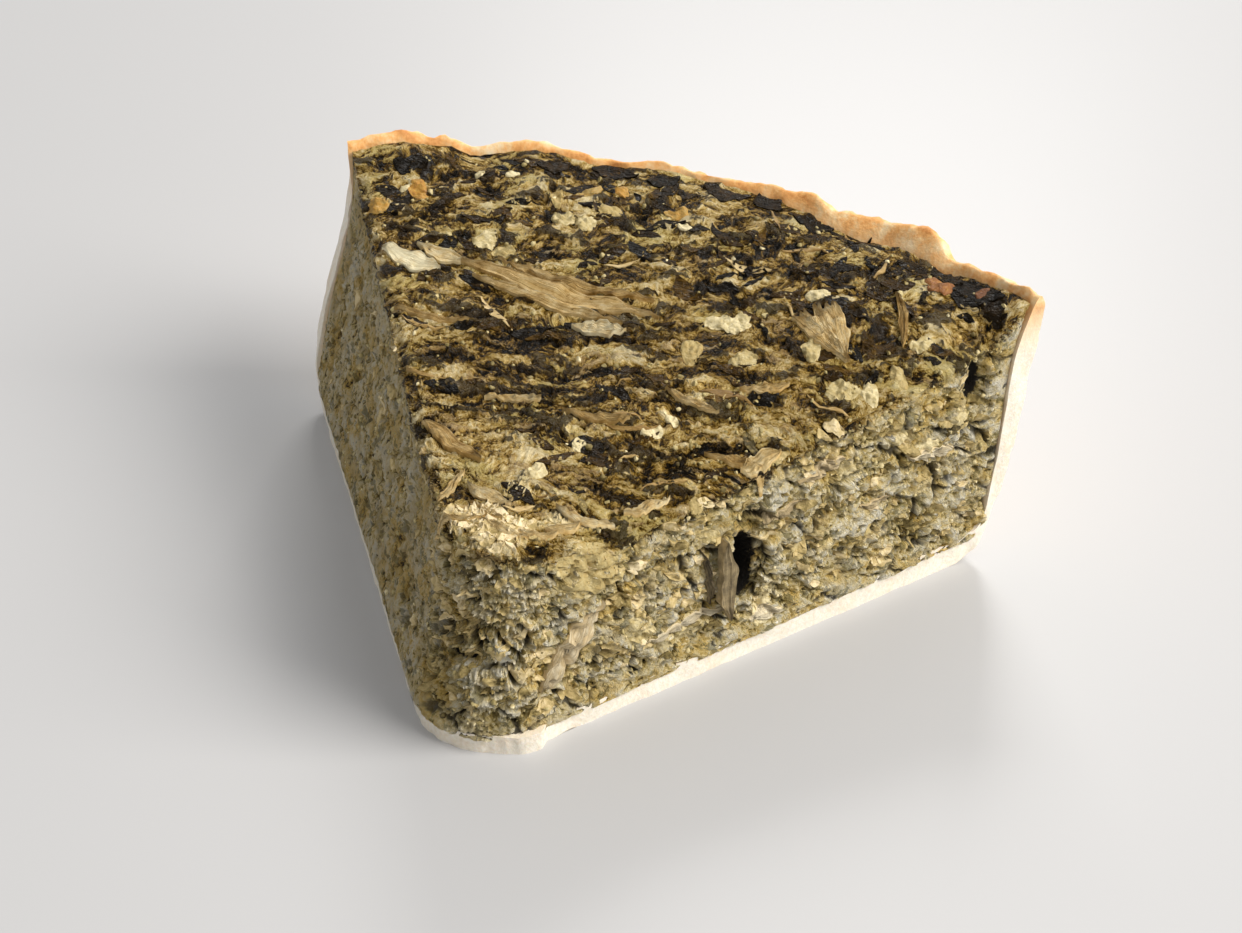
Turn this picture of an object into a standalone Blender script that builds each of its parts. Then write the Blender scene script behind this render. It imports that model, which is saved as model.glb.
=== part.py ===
"""One slice of a deep savoury tart: a fifth of a round, chopped leaf and cheese baked in a thin pastry shell.

Two pieces: the pastry shell, a base and a low outer wall with a wavy rim, and the leaf filling that fills it.
The rounded point of the slice looks along -Y and the wall stands on the +Y side. The origin is on the table,
under the middle of the slice. Heights are along +Z.
"""

import math
import random

import bmesh
import bpy
from mathutils import Vector, noise

MM = 0.001

# The whole tart, seen from above: its axis stands at AXIS, and the slice is cut from right to left round it.
# The right cut is upright. The left cut leans in between two heights, as the knife was turned.
AXIS = Vector((-1.5, -60.9)) * MM
RIGHT_CUT = math.radians(53.85)
LEFT_CUT_AT_TABLE = math.radians(126.5)
LEFT_CUT_AT_RIM = math.radians(121.6)
LEAN_FROM = 4.0 * MM
LEAN_TO = 46.0 * MM

# The knife left the point rounded: a round of this radius, with its centre here from the axis.
TIP_CENTRE_AT_TABLE = Vector((0.0, 21.8)) * MM
TIP_CENTRE_AT_RIM = Vector((3.2, 22.5)) * MM
TIP_RADIUS_AT_TABLE = 12.9 * MM
TIP_RADIUS_AT_RIM = 11.0 * MM

# Pastry shell. Its floor rises a little from the point to the wall, by FLOOR_RISE for each metre of Y.
FLOOR_AT_AXIS = 3.2 * MM
FLOOR_RISE = 0.021
# Each row is inner radius, inner height, outer radius, outer height, from the base to the rim.
WALL_ROWS = (
    (101.0, 5.2, 99.0, 0.0),
    (103.6, 6.0, 102.2, 0.9),
    (104.8, 8.2, 104.4, 3.2),
    (105.4, 12.5, 106.2, 7.6),
    (106.3, 18.0, 108.2, 13.0),
    (106.9, 25.0, 109.6, 20.5),
    (107.2, 32.0, 110.8, 29.5),
    (107.6, 38.0, 112.0, 38.0),
    (108.3, 43.2, 112.7, 43.6),
    (109.3, 47.4, 112.9, 47.8),
    (109.9, 49.8, 112.1, 50.0),
)
NOMINAL_RIM = 50.0 * MM
RIM_WAVES_START = 38.0 * MM
# The wavy rim: azimuth in degrees, height, how far the fold there leans outwards, and the spill, which is 1
# where the filling has baked up over the inside of the rim and 0 where the inside of the rim shows.
RIM_WAVES = (
    (53.0, 48.2, 0.0, 0.7),
    (55.0, 48.9, 0.2, 0.8),
    (60.5, 46.9, 0.4, 0.8),
    (64.3, 45.4, 1.0, 0.5),
    (65.8, 47.0, 2.2, 0.1),
    (67.6, 47.6, 3.0, 0.0),
    (72.4, 46.1, 2.6, 0.0),
    (76.2, 45.6, 0.8, 0.3),
    (78.5, 47.0, 1.4, 0.3),
    (83.5, 46.6, 0.6, 0.8),
    (88.0, 46.2, 0.0, 1.0),
    (93.0, 46.8, 0.2, 1.0),
    (98.3, 46.0, 0.0, 1.0),
    (104.8, 48.2, 0.6, 0.9),
    (110.2, 47.0, 0.0, 1.0),
    (113.5, 49.0, 0.4, 0.9),
    (117.0, 50.4, 0.6, 0.7),
    (121.6, 49.2, 0.0, 0.6),
    (127.0, 48.8, 0.0, 0.6),
)
SPILL_THINS_RIM = 1.1 * MM
# How much of the rim stands above the filling where it has spilled up the wall, and where it hasn't.
RIM_SHOWS_AT_SPILL = 0.4 * MM
RIM_SHOWS_AT_FOLD = 1.8 * MM
WALL_CLIMB_REACH = 5.0 * MM
BASE_STEPS = 7
SHELL_ACROSS = 44
EDGE_RAGGEDNESS = 0.3 * MM
# A tongue of the base left outside the cut, on the right of the point: middle, half length and depth.
TONGUE = (0.06, 0.14, 1.3 * MM)

# Leaf filling.
FIT_GAP = 0.3 * MM
MERGE_WITHIN = 0.01 * MM
FILLING_ACROSS = 44
FILLING_ALONG = 34
FILLING_LAYERS = 13
FILLING_SET_BACK = 0.5 * MM
POINT_HEIGHT = 38.6 * MM
WALL_SIDE_HEIGHT = 46.9 * MM
WALL_FOOT_HEIGHT = 5.4 * MM
WALL_TOP_RADIUS = 109.4 * MM
RISE_STARTS = 38.0 * MM
RISE_ENDS = 107.0 * MM
RIGHT_EDGE_SAG = 4.0 * MM
SAG_REACH = 10.0 * MM
TOP_RELIEF = 0.9 * MM
CUT_RELIEF = 1.3 * MM
CRAG_SIZE = 7.0 * MM
TOP_EDGE_WEAR = 1.6 * MM
EDGE_REACH = 6.0 * MM
# Hollows and lumps on the two cut faces: distance from the axis, height, half length, half height, depth.
# A hollow's depth is negative, and a lump's is positive.
RIGHT_FACE_MARKS = (
    (55.4, 17.6, 1.9, 7.5, -4.6),
    (52.2, 18.6, 1.7, 8.0, 0.9),
    (102.4, 35.6, 2.4, 4.5, -3.6),
    (66.8, 21.5, 2.2, 1.8, -2.4),
    (92.8, 22.5, 3.0, 1.6, -2.2),
    (74.8, 12.0, 2.6, 1.8, -1.8),
    (36.2, 14.5, 4.6, 3.6, 1.5),
    (30.0, 29.0, 6.4, 5.4, 2.2),
    (90.4, 26.5, 4.2, 3.0, 1.3),
    (97.0, 31.5, 3.6, 2.8, 1.2),
    (70.8, 28.5, 5.0, 3.0, 1.0),
    (41.2, 24.0, 3.0, 2.0, -2.0),
)
LEFT_FACE_MARKS = (
    (37.0, 22.0, 2.6, 4.4, -4.4),
    (30.0, 11.0, 3.0, 3.0, 1.4),
    (52.0, 14.0, 4.0, 2.2, -1.2),
    (60.0, 30.0, 5.0, 3.0, 0.9),
    (81.0, 20.0, 4.0, 3.0, -1.0),
)
TIP_MARKS = (
    (-1.0, 17.5, 6.0, 1.7, -2.8),
    (-6.0, 33.0, 5.0, 3.0, 1.6),
    (5.0, 27.0, 4.0, 2.4, 1.2),
    (3.0, 11.0, 5.0, 2.6, 1.0),
)

# Pieces baked into the top, fused to the filling. Places are from the axis, and headings in degrees from +X.
# Stalk strips: x, y, length, width, heading.
STALKS = (
    (-9.8, 71.4, 34.0, 5.0, -4.0),
    (-23.6, 61.4, 23.0, 4.2, 11.0),
    (-36.0, 70.4, 13.0, 5.6, -3.0),
    (-31.0, 75.4, 11.0, 4.2, -5.0),
    (-11.6, 33.4, 15.0, 5.2, -25.0),
    (-0.8, 24.4, 10.0, 3.6, -13.0),
    (27.0, 44.5, 11.0, 3.4, 8.0),
    (35.2, 74.6, 13.0, 9.0, -46.0),
    (0.0, 66.0, 10.0, 3.2, 11.0),
    (7.0, 47.0, 15.0, 4.4, 4.0),
    (-7.0, 47.5, 12.0, 3.4, 14.0),
    (22.0, 54.5, 13.0, 3.6, -8.0),
)
# Cheese and egg lumps: x, y, width, rise above the surface.
LUMPS = (
    (-14.6, 92.0, 9.0, 1.5),
    (-25.6, 79.2, 5.0, 1.1),
    (-42.0, 88.0, 3.6, 1.1),
    (-46.4, 81.6, 5.0, 0.9),
    (19.3, 72.6, 5.6, 1.3),
    (24.9, 65.6, 4.4, 1.1),
    (33.6, 68.6, 4.0, 1.4),
    (31.3, 82.4, 3.0, 1.2),
    (16.2, 65.0, 4.4, 1.0),
    (40.4, 62.4, 7.6, 1.2),
    (47.0, 74.2, 5.2, 1.6),
    (46.6, 88.0, 4.2, 1.6),
    (53.4, 88.2, 3.8, 1.5),
    (5.2, 18.6, 5.4, 1.8),
    (13.0, 24.6, 6.4, 2.0),
    (-4.6, 19.0, 4.0, 1.8),
)
# Leaf flakes curling a little off the top, spread by a seeded draw.
FLAKE_COUNT = 16
FLAKE_LENGTH = (6.0, 13.0)
FLAKE_WIDTH = (2.6, 5.0)
FLAKE_SEED = 11

PASTRY_COLOUR = (0.80, 0.62, 0.38, 1.0)
FILLING_COLOUR = (0.16, 0.14, 0.055, 1.0)


def mix(a, b, share):
    """The value share of the way from a to b."""
    return a + (b - a) * share


def smooth_step(low, high, value):
    """0 below low, 1 above high, and a smooth rise between."""
    t = min(max((value - low) / (high - low), 0.0), 1.0)
    return t * t * (3.0 - 2.0 * t)


def hump(distance, half_width):
    """A smooth bump, 1 in the middle and near 0 at twice the half width."""
    return math.exp(-((distance / half_width) ** 2))


def around(angle, radius):
    """A point in plan, from the tart's axis."""
    return Vector((math.cos(angle), math.sin(angle))) * radius


def lean_at(height):
    """How far the left cut has leaned in at a height, from 0 at the table to 1 at the rim."""
    return smooth_step(LEAN_FROM, LEAN_TO, height)


def left_cut(lean):
    """The azimuth of the left cut where it has leaned in this far."""
    return mix(LEFT_CUT_AT_TABLE, LEFT_CUT_AT_RIM, lean)


def tip_circle(lean, set_back):
    """Centre and radius of the rounded point."""
    centre = TIP_CENTRE_AT_TABLE.lerp(TIP_CENTRE_AT_RIM, lean)
    radius = mix(TIP_RADIUS_AT_TABLE, TIP_RADIUS_AT_RIM, lean)
    return centre, radius - set_back


def tip_angle(across, lean, radius_out, set_back):
    """Where on the rounded point a line across the slice starts, as an angle round the point's own centre.

    The two cuts are the lines from the ends of the arc that touch the rounded point.
    """
    centre, radius = tip_circle(lean, set_back)
    ends = []
    for cut, side in ((RIGHT_CUT, -1.0), (left_cut(lean), 1.0)):
        away = around(cut, radius_out) - centre
        ends.append(math.atan2(away.y, away.x) + side * math.acos(radius / away.length))
    return mix(ends[0], ends[1] - 2.0 * math.pi, across)


def plan_point(across, along, lean, radius_out, set_back):
    """A point of the slice in plan: across runs from the right cut to the left, along from the point to the arc."""
    centre, radius = tip_circle(lean, set_back)
    angle = tip_angle(across, lean, radius_out, set_back)
    start = centre + around(angle, radius)
    inset = set_back / radius_out
    azimuth = mix(RIGHT_CUT + inset, left_cut(lean) - inset, across)
    return start.lerp(around(azimuth, radius_out), along)


def floor_height(plan):
    """The height of the pastry's floor at a point in plan."""
    return FLOOR_AT_AXIS + FLOOR_RISE * plan.y


def ragged(point, size, seed):
    """Smooth noise from about -1 to 1, with lumps of this size and finer ones on them."""
    place = Vector(point) / size + Vector((seed, 2.0 * seed, -seed))
    return noise.noise(place) + 0.5 * noise.noise(place * 2.1)


def rim_wave(azimuth):
    """Height, outward lean and spill of the rim at an azimuth."""
    degrees = math.degrees(azimuth)
    before = max(step for step, row in enumerate(RIM_WAVES[:-1]) if row[0] <= degrees or step == 0)
    low, high = RIM_WAVES[before], RIM_WAVES[before + 1]
    share = smooth_step(low[0], high[0], degrees)
    height, lean, spill = (mix(a, b, share) for a, b in zip(low[1:], high[1:]))
    return height * MM, lean * MM, spill


def thinned(share, spill):
    """How far out the inside of the rim has moved, share of the way up it, where the filling has spilled."""
    return SPILL_THINS_RIM * spill * share


def grid_block(name, across, along, layers, place, colour, roughness):
    """A cube cut into a grid, with each vertex moved by place(across, along, up), all from 0 to 1."""
    bm = bmesh.new()
    bmesh.ops.create_cube(bm, size=1.0)
    for axis, pieces in enumerate((across, along, layers)):
        if pieces == 1:
            continue
        edges = [e for e in bm.edges if abs(e.verts[0].co[axis] - e.verts[1].co[axis]) > 0.5 / pieces]
        bmesh.ops.subdivide_edges(bm, edges=edges, cuts=pieces - 1, use_grid_fill=True)
    half = Vector((0.5, 0.5, 0.5))
    for vertex in bm.verts:
        vertex.co = place(*(vertex.co + half))
    bmesh.ops.recalc_face_normals(bm, faces=bm.faces)
    return finish_object(name, bm, colour, roughness)


def finish_object(name, bm, colour, roughness):
    """Turns a bmesh into a named object with its own material."""
    mesh = bpy.data.meshes.new(name)
    bm.to_mesh(mesh)
    bm.free()
    material = bpy.data.materials.new(name)
    material.use_nodes = True
    surface = material.node_tree.nodes["Principled BSDF"]
    surface.inputs["Base Color"].default_value = colour
    surface.inputs["Roughness"].default_value = roughness
    surface.inputs["Metallic"].default_value = 0.0
    mesh.materials.append(material)
    obj = bpy.data.objects.new(name, mesh)
    bpy.context.scene.collection.objects.link(obj)
    return obj


def to_slice(plan, height):
    """A point in plan from the axis, and a height, as a point of the model."""
    return Vector((plan.x + AXIS.x, plan.y + AXIS.y, height))


def shell_point(across, along, up):
    """The pastry shell: up 0 is its underside and outer wall, up 1 its floor and inner wall."""
    steps = BASE_STEPS + len(WALL_ROWS) - 1
    step = round(along * steps)
    row = WALL_ROWS[max(0, step - BASE_STEPS)]
    inner_radius, inner_height, outer_radius, outer_height = (size * MM for size in row)
    radius = mix(outer_radius, inner_radius, up)
    height = mix(outer_height, inner_height, up)
    share_along = min(step / BASE_STEPS, 1.0)
    lean = lean_at(height)
    azimuth = mix(RIGHT_CUT, left_cut(lean), across)
    rim_height, rim_lean, spill = rim_wave(azimuth)
    if height > RIM_WAVES_START:
        share = (height - RIM_WAVES_START) / (NOMINAL_RIM - RIM_WAVES_START)
        height = mix(RIM_WAVES_START, rim_height, share)
        radius += rim_lean * share * share + up * thinned(share, spill)
    if step == steps and 0.0 < up < 1.0:
        height += 0.4 * MM
    plan = plan_point(across, share_along, lean, radius, 0.0)
    if step <= BASE_STEPS:
        height = up * floor_height(plan)
    if across in (0.0, 1.0) or step == 0:
        ledge_middle, ledge_half, ledge_depth = TONGUE
        outwards = EDGE_RAGGEDNESS * ragged((plan.x, plan.y, height * 0.3), 4.0 * MM, 3.0)
        if step == 0:
            outwards += ledge_depth * hump(across - ledge_middle, ledge_half)
        plan += around(tip_angle(across, lean, radius, 0.0), outwards)
    return to_slice(plan, height)


def inner_wall_radius(height, azimuth):
    """The radius of the shell's inner wall at a height, where no fold of the rim leans outwards."""
    rim_height, rim_lean, spill = rim_wave(azimuth)
    share = max(0.0, height - RIM_WAVES_START) / (rim_height - RIM_WAVES_START)
    if share > 0.0:
        height = mix(RIM_WAVES_START, NOMINAL_RIM, share)
    rows = [(row[1] * MM, row[0] * MM) for row in WALL_ROWS]
    for (low, radius_low), (high, radius_high) in zip(rows, rows[1:]):
        if height <= high:
            radius = mix(radius_low, radius_high, max(0.0, (height - low) / (high - low)))
            return radius + thinned(share, spill)
    return rows[-1][1] + thinned(share, spill)


def face_marks(marks, distance, height):
    """How far the hollows and lumps of a cut face move a point outwards."""
    moved = 0.0
    for middle, level, half_length, half_height, depth in marks:
        moved += depth * MM * hump(distance - middle * MM, half_length * MM) * hump(
            height - level * MM, half_height * MM
        )
    return moved


def top_height(plan):
    """The height of the filling's top: low at the point, high along the wall, sagging at the right cut."""
    azimuth = math.atan2(plan.y, plan.x)
    rise = smooth_step(RISE_STARTS, RISE_ENDS, plan.length)
    height = mix(POINT_HEIGHT, WALL_SIDE_HEIGHT, rise)
    from_cut = math.sin(max(0.0, azimuth - RIGHT_CUT)) * plan.length
    height -= RIGHT_EDGE_SAG * hump(from_cut, SAG_REACH) * smooth_step(12.0 * MM, 34.0 * MM, plan.length)
    height += TOP_RELIEF * ragged((plan.x, plan.y, 0.0), CRAG_SIZE, 7.0)
    rim_height, rim_lean, spill = rim_wave(azimuth)
    at_wall = rim_height - mix(RIM_SHOWS_AT_FOLD, RIM_SHOWS_AT_SPILL, spill)
    return mix(height, at_wall, hump(max(0.0, WALL_TOP_RADIUS - plan.length), WALL_CLIMB_REACH))


def filling_point(across, along, up):
    """The leaf filling, 0.3 mm clear of the pastry, with crags on its two cut faces and its point."""
    lean = lean_at(mix(WALL_FOOT_HEIGHT, WALL_SIDE_HEIGHT, up))
    azimuth = mix(RIGHT_CUT, left_cut(lean), across)
    wall_height = mix(WALL_FOOT_HEIGHT, top_height(around(azimuth, WALL_TOP_RADIUS)), up)
    radius_out = inner_wall_radius(wall_height, azimuth) - FIT_GAP

    def outline(part_across, part_along):
        return plan_point(part_across, part_along, lean, radius_out, FILLING_SET_BACK)

    plan = outline(across, along)
    height = mix(floor_height(plan) + FIT_GAP, top_height(plan), up)
    sides = (
        (outline(0.0, along), 0.0, RIGHT_FACE_MARKS),
        (outline(1.0, along), 1.0, LEFT_FACE_MARKS),
        (outline(across, 0.0), across, TIP_MARKS),
    )
    shares = [hump((plan - edge).length, EDGE_REACH) for edge, side_across, marks in sides]
    move = Vector((0.0, 0.0))
    for share, (edge, side_across, marks) in zip(shares, sides):
        outwards = around(tip_angle(side_across, lean, radius_out, 0.0), 1.0)
        move += outwards * share * side_crag(edge, height, marks)
    move *= max(shares) / sum(shares)
    off_wall = 1.0 - smooth_step(0.9, 0.99, along)
    off_floor = smooth_step(0.0, 0.12, up)
    nearest_edge = min((plan - edge).length for edge, side_across, marks in sides)
    height -= TOP_EDGE_WEAR * hump(nearest_edge, 1.2 * MM) * smooth_step(0.8, 1.0, up) * off_wall
    return to_slice(plan + move * off_wall * off_floor, height)


def side_crag(edge, height, marks):
    """How far the crags of a cut face move a point of its outline outwards."""
    distance = edge.x if marks is TIP_MARKS else edge.length
    return CUT_RELIEF * ragged((edge.x, edge.y, height), CRAG_SIZE, 1.0) + face_marks(marks, distance, height)


def merge_underside(obj):
    """The flat underside becomes one face, as nothing shows there."""
    bm = bmesh.new()
    bm.from_mesh(obj.data)

    def is_low(vertex):
        """Whether a vertex lies on the pastry's floor, but for the gap."""
        plan = vertex.co.xy - AXIS
        return vertex.co.z < floor_height(plan) + FIT_GAP + 0.01 * MM

    under = [f for f in bm.faces if all(is_low(v) for v in f.verts)]
    bmesh.ops.dissolve_faces(bm, faces=under)
    bm.to_mesh(obj.data)
    bm.free()


def surface_at(x, y):
    """Plan vector and height of the filling's top at a place given from the axis in millimetres."""
    plan = Vector((x, y)) * MM
    return plan, top_height(plan)


def strip_place(x, y, length, width, heading, thickness, sunk, curl):
    """A place function for grid_block: a strip along its heading, thin at its ends, that follows the top."""
    direction = Vector((math.cos(math.radians(heading)), math.sin(math.radians(heading))))
    sideways = Vector((-direction.y, direction.x))

    def place(across, along, up):
        lengthwise = (across - 0.5) * length * MM
        taper = math.sqrt(max(0.05, 1.0 - (2.0 * across - 1.0) ** 2 * 0.9))
        crosswise = (along - 0.5) * width * MM * taper
        bend = 0.08 * lengthwise * math.sin(3.0 * across + x)
        plan = Vector((x, y)) * MM + direction * lengthwise + sideways * (crosswise + bend)
        level = top_height(plan)
        arch = 1.0 - (2.0 * along - 1.0) ** 2
        lift = curl * MM * math.sin(across * 5.0 + y)
        body = (up - sunk) * thickness * MM * (0.55 + 0.45 * taper)
        return to_slice(plan, level + body + up * (0.25 * MM * arch + lift))

    return place


def lump(name, x, y, width, rise):
    """A flattened, uneven ball half sunk in the top."""
    plan, level = surface_at(x, y)
    bm = bmesh.new()
    bmesh.ops.create_icosphere(bm, subdivisions=1, radius=0.5 * width * MM)
    for vertex in bm.verts:
        uneven = 1.0 + 0.22 * ragged(vertex.co + Vector((x, y, 0.0)) * MM, 2.5 * MM, 5.0)
        flat = 2.0 * rise / width
        vertex.co = Vector((vertex.co.x * uneven, vertex.co.y * uneven, vertex.co.z * flat * uneven))
        vertex.co += to_slice(plan, level)
    return finish_object(name, bm, FILLING_COLOUR, 0.6)


def flake_places():
    """Seeded places for the leaf flakes: x, y, length, width, heading, all clear of the edges."""
    draw = random.Random(FLAKE_SEED)
    places = []
    while len(places) < FLAKE_COUNT:
        azimuth = draw.uniform(RIGHT_CUT + 0.10, LEFT_CUT_AT_RIM - 0.10)
        radius = draw.uniform(34.0, 97.0)
        spot = around(azimuth, radius)
        if radius * math.sin(min(azimuth - RIGHT_CUT, LEFT_CUT_AT_RIM - azimuth)) < 8.0:
            continue
        if any((spot - Vector(other[:2])).length < 10.0 for other in places):
            continue
        length = draw.uniform(*FLAKE_LENGTH)
        width = draw.uniform(*FLAKE_WIDTH)
        places.append((spot.x, spot.y, length, width, draw.gauss(4.0, 16.0)))
    return places


def toppings():
    """Stalk strips, lumps and flakes that stand a little proud of the baked top."""
    made = []
    for number, strip in enumerate(STALKS):
        place = strip_place(*strip, thickness=1.9, sunk=0.62, curl=0.1)
        made.append(grid_block(f"stalk_{number}", 6, 3, 1, place, FILLING_COLOUR, 0.6))
    for number, ball in enumerate(LUMPS):
        made.append(lump(f"lump_{number}", *ball))
    for number, flake in enumerate(flake_places()):
        place = strip_place(*flake, thickness=1.5, sunk=0.66, curl=0.25)
        made.append(grid_block(f"flake_{number}", 4, 2, 1, place, FILLING_COLOUR, 0.5))
    return made


def fuse(body, pieces):
    """Joins the pieces to the body with one Boolean union, and removes them."""
    together = bpy.data.collections.new("fused")
    bpy.context.scene.collection.children.link(together)
    for piece in pieces:
        bpy.context.scene.collection.objects.unlink(piece)
        together.objects.link(piece)
    union = body.modifiers.new("union", "BOOLEAN")
    union.operation = "UNION"
    union.operand_type = "COLLECTION"
    union.collection = together
    union.solver = "EXACT"
    bpy.context.view_layer.update()
    graph = bpy.context.evaluated_depsgraph_get()
    joined = bpy.data.meshes.new_from_object(body.evaluated_get(graph))
    body.modifiers.remove(union)
    body.data = joined
    for piece in pieces:
        bpy.data.objects.remove(piece)
    bpy.data.collections.remove(together)


def drop_scraps(obj):
    """Keeps the largest connected piece, and merges points that all but touch."""
    bm = bmesh.new()
    bm.from_mesh(obj.data)
    bmesh.ops.remove_doubles(bm, verts=bm.verts, dist=MERGE_WITHIN)
    left = set(bm.verts)
    bodies = []
    while left:
        body = {left.pop()}
        edge_of_body = list(body)
        while edge_of_body:
            vertex = edge_of_body.pop()
            for edge in vertex.link_edges:
                other = edge.other_vert(vertex)
                if other in left:
                    left.discard(other)
                    body.add(other)
                    edge_of_body.append(other)
        bodies.append(body)
    largest = max(bodies, key=len)
    scraps = [v for body in bodies if body is not largest for v in body]
    bmesh.ops.delete(bm, geom=scraps, context="VERTS")
    bmesh.ops.triangulate(bm, faces=bm.faces)
    bm.to_mesh(obj.data)
    bm.free()


def build():
    """Clears the scene and makes the two pieces."""
    for old in list(bpy.data.objects):
        bpy.data.objects.remove(old)
    rows = BASE_STEPS + len(WALL_ROWS) - 1
    shell = grid_block("pastry_shell", SHELL_ACROSS, rows, 2, shell_point, PASTRY_COLOUR, 0.7)
    filling = grid_block(
        "leaf_filling", FILLING_ACROSS, FILLING_ALONG, FILLING_LAYERS, filling_point, FILLING_COLOUR, 0.55
    )
    merge_underside(filling)
    fuse(filling, toppings())
    drop_scraps(filling)
    for obj in (shell, filling):
        obj.data.shade_smooth()
        obj.data.set_sharp_from_angle(angle=math.radians(40.0))


build()
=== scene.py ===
"""The looks of one slice of deep leaf tart: browned streaky top, crumbly cut faces, thin pale pastry shell.

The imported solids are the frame. Two detailed pieces stand for its two nodes, and the stalks, cheese lumps,
leaf shreds and crumbs that lie on the filling are pieces of their own. Lengths are in metres and heights go
along +Z; the tables of places are in millimetres from the tart's axis.
"""

import math
import random

import bmesh
import bpy
import numpy as np
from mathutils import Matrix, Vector, noise
from mathutils.bvhtree import BVHTree


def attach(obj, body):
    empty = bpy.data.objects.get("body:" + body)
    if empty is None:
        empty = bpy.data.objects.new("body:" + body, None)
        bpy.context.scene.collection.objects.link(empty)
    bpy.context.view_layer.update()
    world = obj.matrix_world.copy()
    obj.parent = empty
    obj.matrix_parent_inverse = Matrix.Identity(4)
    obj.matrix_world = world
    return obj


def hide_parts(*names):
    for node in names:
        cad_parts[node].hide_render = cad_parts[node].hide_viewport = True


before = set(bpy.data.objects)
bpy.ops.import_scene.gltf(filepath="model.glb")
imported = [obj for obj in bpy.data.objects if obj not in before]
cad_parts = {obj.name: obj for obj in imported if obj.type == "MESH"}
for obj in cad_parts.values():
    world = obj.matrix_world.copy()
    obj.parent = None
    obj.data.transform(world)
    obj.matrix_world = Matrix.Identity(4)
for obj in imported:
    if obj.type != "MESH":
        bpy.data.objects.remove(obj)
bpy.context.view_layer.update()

MM = 0.001

# The slice, with the same named values as the solids have.
AXIS_X = -1.5 * MM
AXIS_Y = -60.9 * MM
RIGHT_CUT = math.radians(53.85)
LEFT_CUT_AT_TABLE = math.radians(126.5)
LEFT_CUT_AT_RIM = math.radians(121.6)
LEAN_FROM = 4.0 * MM
LEAN_TO = 46.0 * MM
TIP_CENTRE_AT_TABLE = (0.0, 21.8 * MM)
TIP_CENTRE_AT_RIM = (3.2 * MM, 22.5 * MM)
TIP_RADIUS_AT_TABLE = 12.9 * MM
TIP_RADIUS_AT_RIM = 11.0 * MM
FLOOR_AT_AXIS = 3.2 * MM
FLOOR_RISE = 0.021
# Inner radius, inner height, outer radius, outer height, from the base to the rim.
WALL_ROWS = (
    (101.0, 5.2, 99.0, 0.0),
    (103.6, 6.0, 102.2, 0.9),
    (104.8, 8.2, 104.4, 3.2),
    (105.4, 12.5, 106.2, 7.6),
    (106.3, 18.0, 108.2, 13.0),
    (106.9, 25.0, 109.6, 20.5),
    (107.2, 32.0, 110.8, 29.5),
    (107.6, 38.0, 112.0, 38.0),
    (108.3, 43.2, 112.7, 43.6),
    (109.3, 47.4, 112.9, 47.8),
    (109.9, 49.8, 112.1, 50.0),
)
NOMINAL_RIM = 50.0 * MM
RIM_WAVES_START = 38.0 * MM
# The wavy rim: azimuth in degrees, height, how far the fold there leans outwards, and the spill, which is 1
# where the filling has baked up over the inside of the rim and 0 where the inside of the rim shows.
RIM_WAVES = (
    (53.0, 48.2, 0.0, 0.7),
    (55.0, 48.9, 0.2, 0.8),
    (60.5, 46.9, 0.4, 0.8),
    (64.3, 45.4, 1.0, 0.5),
    (65.8, 47.0, 2.2, 0.1),
    (67.6, 47.6, 3.0, 0.0),
    (72.4, 46.1, 2.6, 0.0),
    (76.2, 45.6, 0.8, 0.3),
    (78.5, 47.0, 1.4, 0.3),
    (83.5, 46.6, 0.6, 0.8),
    (88.0, 46.2, 0.0, 1.0),
    (93.0, 46.8, 0.2, 1.0),
    (98.3, 46.0, 0.0, 1.0),
    (104.8, 48.2, 0.6, 0.9),
    (110.2, 47.0, 0.0, 1.0),
    (113.5, 49.0, 0.4, 0.9),
    (117.0, 50.4, 0.6, 0.7),
    (121.6, 49.2, 0.0, 0.6),
    (127.0, 48.8, 0.0, 0.6),
)
SPILL_THINS_RIM = 1.1 * MM
# How much of the rim stands above the filling where it has spilled up the wall, and where it hasn't.
RIM_SHOWS_AT_SPILL = 0.4 * MM
RIM_SHOWS_AT_FOLD = 1.8 * MM
WALL_CLIMB_REACH = 5.0 * MM
TONGUE_MIDDLE = 0.06
TONGUE_HALF = 0.14
TONGUE_DEPTH = 1.3 * MM
FIT_GAP = 0.3 * MM
# At the cuts the foot of the filling bulges over the edge of the crust by this, and sinks into it by this.
FOOT_BULGE = 0.35 * MM
SUNK_IN_CRUST = 0.7 * MM
FILLING_SET_BACK = 0.5 * MM
POINT_HEIGHT = 38.6 * MM
WALL_SIDE_HEIGHT = 46.9 * MM
WALL_FOOT_HEIGHT = 5.4 * MM
WALL_TOP_RADIUS = 109.4 * MM
RISE_STARTS = 38.0 * MM
RISE_ENDS = 107.0 * MM
RIGHT_EDGE_SAG = 4.0 * MM
SAG_REACH = 10.0 * MM
EDGE_REACH = 6.0 * MM
TOP_EDGE_WEAR = 1.4 * MM
# Hollows and lumps of the cut faces: distance from the axis, height, half length, half height, depth.
RIGHT_FACE_MARKS = (
    (56.5, 17.2, 1.7, 5.4, -8.0),
    (51.4, 18.6, 1.7, 8.0, 0.9),
    (100.8, 36.0, 2.0, 5.0, -4.6),
    (66.8, 21.5, 1.6, 1.2, -2.6),
    (92.8, 22.5, 3.0, 1.2, -2.4),
    (74.8, 12.0, 2.0, 1.4, -1.8),
    (36.2, 14.5, 4.6, 3.6, 1.5),
    (30.0, 29.0, 6.4, 5.4, 2.0),
    (90.4, 26.5, 4.2, 3.0, 1.3),
    (97.0, 31.5, 3.6, 2.8, 1.2),
    (70.8, 28.5, 5.0, 3.0, 1.0),
    (41.2, 24.0, 3.0, 1.6, -2.0),
)
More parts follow.
